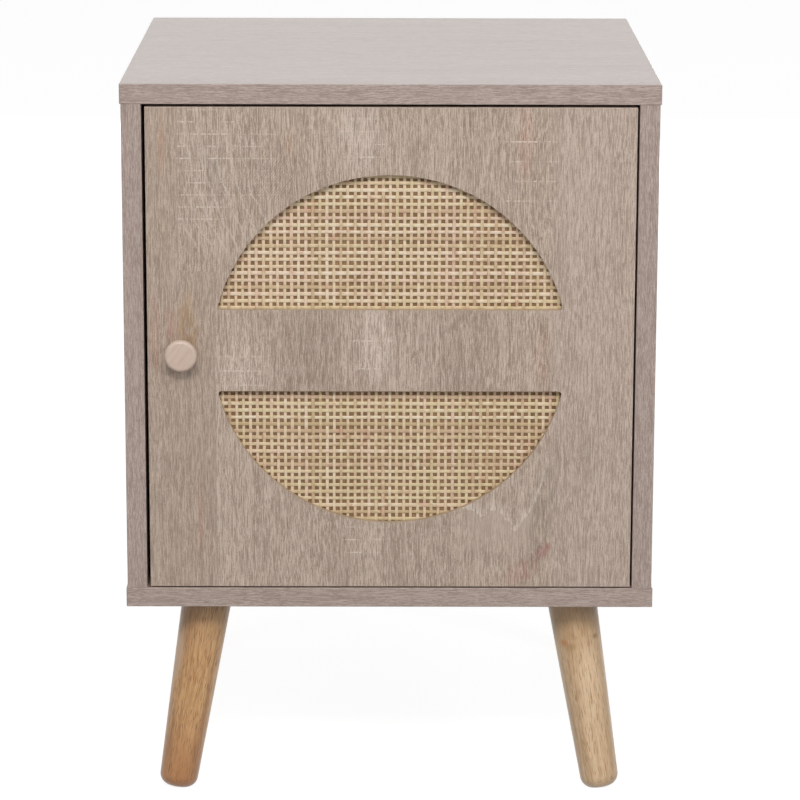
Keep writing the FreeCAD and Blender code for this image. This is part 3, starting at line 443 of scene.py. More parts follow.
@dataclass(frozen=True)
class WashedOak(Finish):
    """Greyed oak print on a board: fibres, veins, dark pores and pale limed flecks along its grain."""

    name: str
    grain: Grain
    seed: float = 0.0
    pale: Triple = (182, 165, 156)
    middle: Triple = (165, 147, 138)
    dark: Triple = (146, 128, 119)
    limed: Triple = (208, 194, 182)
    sway: float = 0.008
    vein_share: float = 0.24
    squeeze: float = 1.0
    pore_share: float = 0.45
    fleck_share: float = 0.3
    coat: float = 0.0
    coat_rough: float = 0.3
    rough_span: Tuple[float, float] = (0.38, 0.5)
    glance: float = 1.48
    relief: float = 0.00005
    relief_share: float = 0.4
    pore_depth: float = 0.8
    pore_edge: Tuple[float, float] = (0.57, 0.67)
    fleck_edge: Tuple[float, float] = (0.57, 0.68)
    swing: Streak = Streak(0.35, 18)
    broad: Streak = Streak(0.12, 24, 3, 0.5, 0.3, 0.2)
    veins: Streak = Streak(0.05, 260, 3, 0.55, 0.2)
    threads: Streak = Streak(0.03, 2300, 2, 0.6, share=0.95)
    fibre: Streak = Streak(0.1, 2500, 2, 0.6, share=0.85)
    speck: Streak = Streak(0.4, 2300, 1, 0.6, share=0.4)
    pores: Streak = Streak(0.04, 2200)
    flecks: Streak = Streak(0.06, 2100, bend=0.2)

    def run(self, graph: Graph, point: Socket, stretch: float) -> Socket:
        """Squeezes a point along the grain, so that noise read there forms streaks.

        Args:
            graph: The material's nodes.
            point: The point.
            stretch: The factor along the grain.

        Returns:
            The squeezed point.
        """
        scale = [1.0, 1.0, 1.0]
        scale[self.grain.value] = stretch
        return graph.mapped(point, tuple(scale), (self.seed, self.seed * 0.7, self.seed * 1.3))

    def layer(self, graph: Graph, point: Socket, streak: Streak, squeeze: float = 1.0) -> Socket:
        """Makes one layer of streaks.

        Args:
            graph: The material's nodes.
            point: The point to read it at.
            streak: The layer.
            squeeze: A further factor along the grain.

        Returns:
            The layer's noise.
        """
        place = self.run(graph, point, streak.squeeze * squeeze)
        return graph.noise(place, streak.fineness, streak.layers, streak.rough, streak.bend)

    def bent(self, graph: Graph, point: Socket) -> Socket:
        """Bends the grain gently to and fro.

        Args:
            graph: The material's nodes.
            point: The point.

        Returns:
            The bent point.
        """
        way = [self.sway, self.sway, self.sway]
        way[self.grain.value] = 0.0
        return graph.pushed(point, tuple(way), graph.minus(self.layer(graph, point, self.swing), 0.5))

    def streaks(self, graph: Graph, point: Socket) -> Tuple[Socket, Socket, Socket]:
        """Makes the streaks of the print.

        Args:
            graph: The material's nodes.
            point: The point to read them at.

        Returns:
            The body colour, the pores and the pale flecks.
        """
        bent = self.bent(graph, point)
        shares = [(self.layer(graph, bent, self.broad), self.broad.share),
                  (self.layer(graph, bent, self.veins), self.vein_share)]
        for streak in (self.threads, self.fibre):
            shares.append((self.layer(graph, bent, streak, self.squeeze), streak.share))
        shares.append((self.layer(graph, bent, self.speck), self.speck.share))
        middle = sum(share for _, share in shares) / 2 - 0.5
        colour = graph.wood(graph.minus(graph.total(*shares), middle), self.dark, self.middle, self.pale)
        pores = graph.step(self.layer(graph, bent, self.pores, self.squeeze), *self.pore_edge)
        flecks = graph.step(self.layer(graph, bent, self.flecks, self.squeeze), *self.fleck_edge)
        return colour, pores, flecks

    def finished(self, graph: Graph, colour: Socket, pores: Socket, flecks: Socket,
                 marks: Value = 0.0) -> bpy.types.Material:
        """Adds pores, flecks, marks and sheen to a body colour.

        Args:
            graph: The material's nodes.
            colour: The body colour.
            pores: Where the dark pores are.
            flecks: Where the pale flecks are.
            marks: Where stronger limed marks are.

        Returns:
            The finished material.
        """
        deep = tone(*(self.pore_depth * part for part in self.dark))
        colour = graph.mix(graph.times(pores, self.pore_share), colour, deep)
        colour = graph.mix(graph.times(flecks, self.fleck_share), colour, tone(*self.limed))
        colour = graph.mix(marks, colour, tone(*self.limed))
        graph.surface(Base_Color=colour, Roughness=graph.step(flecks, 0.0, 1.0, *self.rough_span),
                      IOR=self.glance, Coat_Weight=self.coat, Coat_Roughness=self.coat_rough)
        graph.bump(graph.minus(flecks, pores), self.relief, self.relief_share)
        return graph.material

    def material(self) -> bpy.types.Material:
        """Makes the material."""
        graph = Graph(self.name)
        return self.finished(graph, *self.streaks(graph, graph.place()))


@dataclass(frozen=True)
class Stain:
    """A soft patch in the print, which multiplies the colour below it."""

    middle: Tuple[float, float]
    size: Tuple[float, float]
    tint: Triple
    lean: float = 0.0


@dataclass(frozen=True)
class SawMarks:
    """A patch of level saw marks: its spans, the lines' spacing, one line's height and their strength."""

    across: Tuple[float, float]
    along: Tuple[float, float]
    spacing: float
    start: float
    share: float


@dataclass(frozen=True)
class DoorOak(WashedOak):
    """The door's print: planks with their own tint, curved pale lines, a flame, stains and saw marks."""

    middle_height: float = 0.3495
    window: float = 0.1345
    raw_board: Triple = (190, 166, 140)
    upper_joint: float = -0.158
    lower_joint: float = -0.131
    joint_change: float = 0.41
    joint_step: float = 0.001
    joint_wobble: float = 0.004
    joint_soft: float = 0.0004
    joint_line: float = 0.0003
    joint_tint: Triple = (0.86, 0.85, 0.85)
    right_joint: float = 0.121
    left_shift: float = 0.61
    right_shift: float = 0.37
    left_tint: Triple = (0.95, 0.94, 0.93)
    right_tint: Triple = (1.06, 1.07, 1.10)
    plank_calm: float = 0.22
    curve_top: float = 0.533
    curve_pitch: float = 0.010
    curve_bend: float = 2.6
    curve_wander: float = 0.010
    curve_across: Tuple[float, float] = (-0.156, -0.088)
    curve_along: Tuple[float, float] = (0.424, 0.540)
    line_share: float = 0.75
    flame_share: float = 0.95
    flame_span: Tuple[float, float] = (0.053, 0.119)
    flame_heights: Tuple[float, float] = (0.205, 0.265)
    flame_reach: float = 0.011
    flame_fall: float = 0.036
    flame_edge: Tuple[Tuple[float, float], ...] = (
        (0.0, 0.37), (0.15, 0.34), (0.27, 0.26), (0.34, 0.34), (0.45, 0.33), (0.54, 0.2),
        (0.64, 0.08), (0.71, 0.2), (0.81, 0.34), (0.89, 0.53), (0.95, 0.76), (1.0, 1.0))
    stains: Tuple[Stain, ...] = (
        Stain((0.116, 0.194), (0.007, 0.009), (0.93, 0.66, 0.68), 0.6),
        Stain((0.099, 0.178), (0.015, 0.013), (0.95, 0.74, 0.74), 0.7),
        Stain((0.105, 0.187), (0.012, 0.006), (0.86, 0.84, 0.84), 0.4),
        Stain((0.100, 0.508), (0.008, 0.036), (1.04, 0.89, 0.87)),
        Stain((-0.1515, 0.369), (0.010, 0.031), (0.93, 0.80, 0.60)),
        Stain((-0.1640, 0.368), (0.006, 0.018), (1.04, 0.88, 0.86)),
        Stain((-0.1757, 0.362), (0.005, 0.040), (1.03, 0.88, 0.85)),
        Stain((-0.169, 0.505), (0.004, 0.030), (1.02, 0.86, 0.78)),
        Stain((-0.075, 0.506), (0.006, 0.014), (1.02, 0.94, 0.88)),
        Stain((-0.143, 0.222), (0.003, 0.040), (1.02, 0.86, 0.82)),
        Stain((-0.130, 0.482), (0.009, 0.034), (0.87, 0.88, 0.90), -0.25),
        Stain((0.114, 0.222), (0.012, 0.055), (0.72, 0.72, 0.71), 0.1),
        Stain((-0.020, 0.203), (0.014, 0.014), (1.10, 1.10, 1.10)),
        Stain((-0.112, 0.336), (0.024, 0.034), (1.20, 1.22, 1.26)),
        Stain((-0.022, 0.513), (0.020, 0.036), (1.16, 1.19, 1.26)),
        Stain((-0.011, 0.358), (0.017, 0.040), (1.28, 1.31, 1.38)),
        Stain((-0.066, 0.352), (0.034, 0.060), (0.91, 0.90, 0.89)),
        Stain((0.045, 0.345), (0.030, 0.060), (0.94, 0.93, 0.93)),
        Stain((0.113, 0.343), (0.009, 0.030), (1.02, 0.92, 0.89)))
    saws: Tuple[SawMarks, ...] = (
        SawMarks((-0.158, -0.114), (0.446, 0.531), 0.0091, 0.4492, 0.75),
        SawMarks((-0.116, -0.084), (0.462, 0.515), 0.0091, 0.4492, 0.5),
        SawMarks((0.086, 0.121), (0.452, 0.522), 0.0148, 0.4632, 1.4),
        SawMarks((-0.130, -0.094), (0.319, 0.350), 0.0109, 0.3229, 0.95),
        SawMarks((-0.030, 0.002), (0.330, 0.376), 0.0213, 0.3357, 1.1),
        SawMarks((-0.036, -0.004), (0.490, 0.528), 0.0095, 0.4960, 0.8),
        SawMarks((-0.034, -0.004), (0.190, 0.214), 0.0100, 0.2030, 0.9))
    ripple: Stain = Stain((-0.088, 0.481), (0.026, 0.030), (0.76, 0.74, 0.72))
    ripple_slant: float = 1.3
    ripple_rate: float = 2300.0
    saw_thickness: float = 0.0007
    calm_tone: Triple = (179, 161, 147)
    calm_share: float = 0.7
    chip_shade: float = 0.86

    def planks(self, graph: Graph, across: Socket, along: Socket) -> Tuple[Socket, Socket, Socket]:
        """Finds the planks of the print.

        Args:
            graph: The material's nodes.
            across: Place across the door.
            along: Height on the door.

        Returns:
            Where the left plank is, where the right one is, and where the left joint's dark line runs.
        """
        change, step = self.joint_change, self.joint_step
        low = graph.step(along, change - step, change + step, 1.0, 0.0)
        wobble = graph.times(graph.noise(graph.joined(0.0, 0.0, along), 40, 2), self.joint_wobble)
        upper = graph.minus(across, self.upper_joint)
        lower = graph.minus(graph.plus(across, wobble), self.lower_joint + self.joint_wobble / 2)
        beside = graph.plus(graph.times(upper, graph.minus(1.0, low)), graph.times(lower, low))
        soft, thin = self.joint_soft, self.joint_line
        left = graph.step(beside, -soft, soft, 1.0, 0.0)
        right = graph.step(across, self.right_joint - soft, self.right_joint + soft)
        return left, right, graph.window(beside, -thin, thin, thin)

    def material(self) -> bpy.types.Material:
        """Makes the material.

        Returns:
            The material.
        """
        graph = Graph(self.name)
        point = graph.place()
        across, depth, along = graph.parts(point)
        left, right, joint = self.planks(graph, across, along)
        plank = graph.total((left, self.left_shift), (right, self.right_shift))
        colour, pores, flecks = self.streaks(graph, graph.joined(across, graph.plus(depth, plank), along))
        calm = graph.total((left, self.plank_calm), (right, self.plank_calm))
        colour = graph.mix(calm, colour, tone(*self.middle))
        for where, tint in ((left, self.left_tint), (right, self.right_tint), (joint, self.joint_tint)):
            colour = graph.mix(where, colour, (*tint, 1.0), "MULTIPLY")
        flame, under = self.flame(graph, point, across, along)
        colour = graph.mix(graph.times(under, self.calm_share), colour, tone(*self.calm_tone))
        colour = self.stained(graph, across, along, colour)
        marks = graph.math("MAXIMUM", flame, self.lines(graph, across, along))
        for saw in self.saws:
            marks = graph.math("MAXIMUM", marks, self.sawn(graph, point, across, along, saw))
        raw, chips = self.cut(graph, point, across, along)
        printed = graph.minus(1.0, raw)
        pores = graph.times(pores, graph.minus(1.0, under), printed)
        return self.finished(graph, graph.mix(raw, colour, chips), pores, graph.times(flecks, printed),
                             graph.times(marks, printed))

    def stained(self, graph: Graph, across: Socket, along: Socket, colour: Socket) -> Socket:
        """Lays the stains and the slanted ripple over the print.

        Args:
            graph: The material's nodes.
            across: Place across the door.
            along: Height on the door.
            colour: The colour so far.

        Returns:
            The stained colour.
        """
        place = graph.joined(across, 0.0, along)
        ragged = graph.noise(graph.mapped(place, (1, 1, 0.25)), 260, 3, 0.6)
        for stain in self.stains:
            patch = graph.oval(across, along, stain.middle, stain.size, stain.lean)
            share = graph.times(patch, graph.step(ragged, 0.3, 0.62))
            colour = graph.mix(share, colour, (*stain.tint, 1.0), "MULTIPLY")
        patch = graph.oval(across, along, self.ripple.middle, self.ripple.size)
        slant = graph.minus(graph.times(across, self.ripple_slant), along)
        waves = graph.math("SINE", graph.total((slant, self.ripple_rate), (graph.noise(place, 190, 2), 9.0)))
        share = graph.times(graph.step(waves, 0.0, 1.0), patch)
        return graph.mix(share, colour, (*self.ripple.tint, 1.0), "MULTIPLY")

    def lines(self, graph: Graph, across: Socket, along: Socket) -> Socket:
        """Draws the pale lines that curve down to the right from the door's upper left.

        Args:
            graph: The material's nodes.
            across: Place across the door.
            along: Height on the door.

        Returns:
            Where the lines are.
        """
        down = graph.minus(self.curve_top, along)
        bow = graph.times(down, down, self.curve_bend)
        place = graph.joined(across, 0.0, along)
        shift = graph.times(graph.noise(place, 55, 3), self.curve_wander)
        level = graph.plus(graph.minus(across, bow), shift)
        wave = graph.math("SINE", graph.times(level, 2 * math.pi / self.curve_pitch))
        broken = graph.step(graph.noise(place, 900, 2, 0.6), 0.4, 0.66, 0.1, self.line_share)
        patch = graph.times(graph.window(across, *self.curve_across, 0.010),
                            graph.window(along, *self.curve_along, 0.016))
        return graph.times(graph.step(wave, 0.75, 1.0), broken, patch)

    def flame(self, graph: Graph, point: Socket, across: Socket, along: Socket) -> Tuple[Socket, Socket]:
        """Draws the pale flame at the lower right, with calm wood below its edge.

        Args:
            graph: The material's nodes.
            point: The point on the door.
            across: Place across the door.
            along: Height on the door.

        Returns:
            Where the flame is pale, and where the wood below it is calm.
        """
        start, end = self.flame_span
        floor, top = self.flame_heights
        curve = graph.add("ShaderNodeFloatCurve")
        row = curve.mapping.curves[0].points
        row[0].location, row[-1].location = self.flame_edge[0], self.flame_edge[-1]
        for spot in self.flame_edge[1:-1]:
            row.new(*spot)
        curve.mapping.update()
        share = graph.math("DIVIDE", graph.minus(across, start), end - start)
        graph.feed(curve.inputs["Value"], share)
        edge = graph.plus(graph.times(curve.outputs[0], top - floor), floor)
        above = graph.minus(along, edge)
        hair = graph.noise(graph.mapped(point, (1, 1, 0.15), (0.3, 0.9, 0.2)), 1100, 2, 0.6)
        reach = graph.times(graph.step(above, -0.0002, 0.0006),
                            graph.step(above, 0.0005, self.flame_reach, 1.0, 0.0))
        span = graph.window(across, start + 0.002, end, 0.002)
        feathers = graph.step(hair, 0.43, 0.6, 0.08, self.flame_share)
        fall = graph.times(graph.step(above, -self.flame_fall, -0.004),
                           graph.step(above, -0.0006, 0.0002, 1.0, 0.0))
        under = graph.times(fall, graph.window(across, start + 0.004, end - 0.008, 0.006),
                            graph.step(hair, 0.3, 0.6, 0.6, 1.0))
        return graph.times(reach, span, feathers), under

    def sawn(self, graph: Graph, point: Socket, across: Socket, along: Socket, saw: SawMarks) -> Socket:
        """Draws one patch of saw marks.

        Args:
            graph: The material's nodes.
            point: The point on the door.
            across: Place across the door.
            along: Height on the door.
            saw: The patch.

        Returns:
            Where its marks are.
        """
        phase = graph.times(graph.minus(along, saw.start), 2 * math.pi / saw.spacing)
        thin = math.cos(2 * math.pi * self.saw_thickness / saw.spacing)
        wave = graph.step(graph.math("COSINE", phase), thin, 1.0, 0.0, 1.5)
        long = graph.noise(graph.mapped(point, (0.3, 1, 1), (0.7, 0.2, 0.1)), 260, 2, 0.5)
        dots = graph.noise(graph.mapped(point, (1, 1, 0.3), (0.2, 0.4, 0.6)), 900, 2, 0.6)
        broken = graph.times(graph.step(long, 0.38, 0.62, 0.1, 1.0), graph.step(dots, 0.44, 0.58, 0.08, 1.0))
        patch = graph.times(graph.window(across, *saw.across, 0.004), graph.window(along, *saw.along, 0.003))
        return graph.times(wave, broken, patch, saw.share)

    def cut(self, graph: Graph, point: Socket, across: Socket, along: Socket) -> Tuple[Socket, Socket]:
        """Finds the cut edges of the round window, which carry no print.

        Args:
            graph: The material's nodes.
            point: The point on the door.
            across: Place across the door.
            along: Height on the door.

        Returns:
            Where raw board shows, and its colour.
        """
        facing = graph.parts(graph.add("ShaderNodeTexCoord").outputs["Normal"])[1]
        edge = graph.step(graph.math("ABSOLUTE", facing), 0.4, 0.6, 1.0, 0.0)
        rise = graph.minus(along, self.middle_height)
        away = graph.math("SQRT", graph.plus(graph.times(across, across), graph.times(rise, rise)))
        raw = graph.times(edge, graph.step(away, self.window, self.window + 0.001, 1.0, 0.0))
        dark = tone(*(self.chip_shade * part for part in self.raw_board))
        chips = graph.ramp(graph.noise(point, 900, 3, 0.6), ((0.3, dark), (0.7, tone(*self.raw_board))))
        return raw, chips


@dataclass(frozen=True)
class Hardboard(Finish):
    """Brown pressed board with a mottled face."""

    name: str
    pale: Triple = (160, 124, 91)
    dark: Triple = (114, 85, 58)

    def material(self) -> bpy.types.Material:
        """Makes the material.

        Returns:
            The material.
        """
        graph = Graph(self.name)
        point = graph.place()
        mottle = graph.noise(point, 420, 4, 0.6)
        clouds = graph.noise(point, 30, 3, 0.5)
        share = graph.total((mottle, 0.7), (clouds, 0.3))
        graph.surface(Base_Color=graph.ramp(share, ((0.35, tone(*self.dark)), (0.65, tone(*self.pale)))),
                      Roughness=0.7)
        graph.bump(mottle, 0.00008, 0.5)
        return graph.material


@dataclass(frozen=True)
class KnotAndHighlight:
    """A soft spot in turned wood: its middle, reach, colour and strength, and how flat it is. Most are knots;
    the tall pale one on the left front leg is a painted highlight.
    """

    middle: Triple
    reach: float
    colour: Triple
    share: float
    squash: float = 1.4


@dataclass(frozen=True)
class TurnedWood(Finish):
    """Lacquered pale wood turned on a lathe, with its grain along one axis, perhaps a browner foot, and
    perhaps a darker top that is partly the wood's own tone and partly painted shade where the box above
    shades a leg.
    """

    name: str
    axis: Triple
    seed: float
    pale: Triple
    middle: Triple
    dark: Triple
    pore: Triple = (150, 112, 76)
    pore_share: float = 0.5
    foot: Triple = (168, 114, 66)
    foot_share: float = 0.0
    foot_top: float = 0.075
    # The top's darker colour and its share: partly the wood's own tone, partly painted shade where the box
    # above shades a leg.
    head_tone_and_shade: Triple = (172, 138, 98)
    head_tone_and_shade_share: float = 0.0
    head_tone_and_shade_span: Tuple[float, float] = (0.098, 0.126)
    coat: float = 0.35
    coat_rough: float = 0.28
    knots_and_highlight: Tuple[KnotAndHighlight, ...] = ()

    def material(self) -> bpy.types.Material:
        """Makes the material.

        Returns:
            The material.
        """
        graph = Graph(self.name)
        place = graph.place()
        turn = Vector(self.axis).rotation_difference(Vector((0, 0, 1))).to_euler("XYZ")
        point = graph.mapped(place, (1, 1, 1), (self.seed, self.seed * 0.37, 0), tuple(turn))
        broad = graph.noise(graph.mapped(point, (1, 1, 0.12)), 70, 3, 0.5, 0.6)
        bands = graph.noise(graph.mapped(point, (1, 1, 0.05)), 380, 3, 0.55, 0.3)
        fine = graph.noise(graph.mapped(point, (1, 1, 0.08)), 1500, 3, 0.6)
        total = graph.minus(graph.total((broad, 0.45), (bands, 0.4), (fine, 0.4)), 0.125)
        colour = graph.wood(total, self.dark, self.middle, self.pale)
        height = graph.parts(place)[2]
        foot = graph.step(height, 0.0, self.foot_top, self.foot_share, 0.0)
        colour = graph.mix(foot, colour, tone(*self.foot))
        # Darker towards the top: partly the wood's own tone, partly painted shade under the box.
        head_tone_and_shade = graph.step(height, *self.head_tone_and_shade_span, 0.0, self.head_tone_and_shade_share)
        colour = graph.mix(head_tone_and_shade, colour, tone(*self.head_tone_and_shade))
        pores = graph.step(graph.noise(graph.mapped(point, (1, 1, 0.055)), 1700, 1, 0.5), 0.57, 0.66)
        colour = graph.mix(graph.times(pores, self.pore_share), colour, tone(*self.pore))
        # Knots, and the painted highlight streak, laid over the grain.
        for knot_and_highlight in self.knots_and_highlight:
            gap = graph.add("ShaderNodeVectorMath", operation="DISTANCE")
            graph.feed(gap.inputs[0], graph.mapped(place, (1, 1, knot_and_highlight.squash)))
            gap.inputs[1].default_value = (*knot_and_highlight.middle[:2], knot_and_highlight.middle[2] * knot_and_highlight.squash)
            rough = graph.plus(gap.outputs["Value"], graph.times(fine, 0.004))
            spot = graph.step(rough, knot_and_highlight.reach * 0.4, knot_and_highlight.reach + 0.002, knot_and_highlight.share, 0.0)
            colour = graph.mix(spot, colour, tone(*knot_and_highlight.colour))
        graph.surface(Base_Color=colour, Roughness=graph.step(fine, 0.3, 0.7, 0.36, 0.48),
                      Coat_Weight=self.coat, Coat_Roughness=self.coat_rough)
        graph.bump(graph.minus(fine, pores), 0.00005, 0.4)
        return graph.material


@dataclass(frozen=True)
class CaneStrand(Finish):
    """Split cane: a shade and a hue for each strand, blotches along it (the whiter ones partly the cane's own
    pale patches, partly painted highlight), fine fibres and a soft gloss.
    """

    name: str = "cane_strand"
    hues: Tuple[Tuple[float, Triple], ...] = (
        (0.12, (205, 187, 144)), (0.36, (216, 195, 157)), (0.6, (219, 195, 163)), (0.88, (217, 186, 166)))
    brown: Triple = (168, 134, 98)
    pale_and_highlight: Triple = (234, 217, 195)
    ruddy: Triple = (196, 144, 122)
    rough: float = 0.45

    def material(self) -> bpy.types.Material:
        """Makes the material.

        Returns:
            The material.
        """
        graph = Graph(self.name)
        point = graph.place()
        hue = graph.total((graph.attribute("hue"), 0.7), (graph.noise(point, 45, 2, 0.5), 0.3))
        colour = graph.ramp(hue, [(place, tone(*tint)) for place, tint in self.hues])
        light = graph.total((graph.attribute("shade"), 0.45), (graph.noise(point, 180, 2, 0.6), 0.55))
        colour = graph.mix(graph.step(light, 0.34, 0.5, 0.5, 0.0), colour, tone(*self.brown))
        # Whiter blotches: partly the cane's own pale patches, partly painted highlight.
        colour = graph.mix(graph.step(light, 0.52, 0.72, 0.0, 0.7), colour, tone(*self.pale_and_highlight))
        blush = graph.step(graph.noise(point, 150, 2, 0.5), 0.58, 0.7, 0.0, 0.45)
        colour = graph.mix(blush, colour, tone(*self.ruddy))
        fibre = graph.noise(point, 1900, 2, 0.5)
        graph.surface(Base_Color=colour, Roughness=self.rough)
        graph.bump(fibre, 0.00004, 0.4)
        return graph.material


@dataclass(frozen=True)
class PlatedSteel(Finish):
    """Plated steel with rolling marks."""

    name: str
    colour: Triple
    rough: float
    shade: float = 0.86

    def material(self) -> bpy.types.Material:
        """Makes the material.

        Returns:
            The material.
        """
        graph = Graph(self.name)
        point = graph.place()
        marks = graph.noise(graph.mapped(point, (1, 1, 0.08)), 900, 3, 0.6)
        cloud = graph.noise(point, 160, 3, 0.5)
        dark = tuple(self.shade * part for part in self.colour)
        graph.surface(Base_Color=graph.mix(cloud, tone(*dark), tone(*self.colour)), Metallic=1.0,
                      Roughness=graph.step(marks, 0.3, 0.7, self.rough - 0.06, self.rough + 0.08))
        graph.bump(marks, 0.00001, 0.4)
        return graph.material


@dataclass(frozen=True)
class Moulding(Finish):
    """Moulded plastic or rubber with a fine texture."""

    name: str
    colour: Triple
    rough: float
    shade: float = 0.92

    def material(self) -> bpy.types.Material:
        """Makes the material.

        Returns:
            The material.
        """
        graph = Graph(self.name)
        grains = graph.noise(graph.place(), 2600, 2, 0.5)
        dark = tuple(self.shade * part for part in self.colour)
        graph.surface(Base_Color=graph.mix(grains, tone(*dark), tone(*self.colour)), Roughness=self.rough)
        graph.bump(grains, 0.00003, 0.5)
        return graph.material


def dress(node: str, finish: bpy.types.Material) -> None:
    """Gives one of the frame's nodes its material.

    Args:
        node: The node's name.
        finish: The material.
    """
    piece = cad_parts[node]
    piece.data.materials.clear()
    piece.data.materials.append(finish)
    LOG.info("dressed %s in %s", node, finish.name)


@dataclass
class Carcass:
    """The boards of the box, with their print along each board's length."""

    boards: Dict[str, Grain] = field(default_factory=lambda: {
        "top_panel": Grain.WIDTH, "bottom_panel": Grain.WIDTH,
        "left_side_panel": Grain.HEIGHT, "right_side_panel": Grain.HEIGHT})
    top_coat: float = 0.18
    seed_step: float = 0.37
    back: Hardboard = Hardboard("brown_back", (158, 134, 108), (128, 106, 84))

    def build(self) -> None:
        """Dresses the boards and the back."""
        for number, (node, grain) in enumerate(self.boards.items()):
            coat = self.top_coat if node == "top_panel" else 0.0
            oak = WashedOak(f"oak_{node}", grain, self.seed_step * (number + 1), coat=coat)
            dress(node, oak.material())
        dress("back_panel", self.back.material())


@dataclass(frozen=True)
class LegLook:
    """The look of one side's legs: tints from pale to pores, a browner foot, a darker top that is partly the
    wood's own tone and partly painted shade under the box, and the front leg's knots, with a painted
    highlight streak on the left.
    """

    tints: Tuple[Triple, Triple, Triple, Triple]
    foot_share: float
    head_tone_and_shade_share: float
    knots_and_highlight: Tuple[KnotAndHighlight, ...]


@dataclass
class Legs:
    """Four turned legs that lean out to both sides."""

    splay: float = 0.0242
    height: float = 0.150
    pore_share: float = 0.8
    seed_step: float = 0.83
    left: LegLook = LegLook(
        # The number after the foot share darkens the leg's top: partly the wood's own tone, partly painted
        # shade under the box.
        ((214, 171, 122), (193, 149, 99), (167, 121, 75), (128, 84, 46)), 0.9, 0.35,
        # Not a knot: a tall pale pink streak on the leg's left side, a painted highlight.
        (KnotAndHighlight((-0.1620, -0.1680, 0.1050), 0.008, (200, 172, 146), 0.6, 0.22),
         KnotAndHighlight((-0.1700, -0.1800, 0.0350), 0.007, (140, 92, 52), 0.4, 0.2)))
    right: LegLook = LegLook(
        ((222, 192, 157), (208, 177, 140), (186, 151, 112), (155, 118, 77)), 0.0, 0.6,
        (KnotAndHighlight((0.1345, -0.1708, 0.1145), 0.0055, (182, 112, 66), 0.8),
         KnotAndHighlight((0.1400, -0.1730, 0.1120), 0.0065, (158, 122, 72), 0.7),
         KnotAndHighlight((0.1580, -0.1680, 0.1195), 0.0045, (126, 86, 48), 0.85)))

    def build(self) -> None:
        """Dresses each leg with grain along its own lean."""
        seed = 0.0
        for row in Row:
            for side in Side:
                seed += self.seed_step
                look = self.left if side is Side.LEFT else self.right
                axis = (-side.value * self.splay, -row.value * self.splay, self.height)
                place = f"{row.name}_{side.name}".lower()
                finish = TurnedWood(f"leg_wood_{place}", axis, seed, *look.tints, self.pore_share,
                                    foot_share=look.foot_share, head_tone_and_shade_share=look.head_tone_and_shade_share,
                                    knots_and_highlight=look.knots_and_highlight if row is Row.FRONT else ())
                dress(f"leg_{place}", finish.material())


@dataclass
class Weave:
    """The growing mesh of the woven screen, with a shade and a hue at each point."""

    points: List[Vector] = field(default_factory=list)
    faces: List[Tuple[int, ...]] = field(default_factory=list)
    shades: List[float] = field(default_factory=list)
    hues: List[float] = field(default_factory=list)


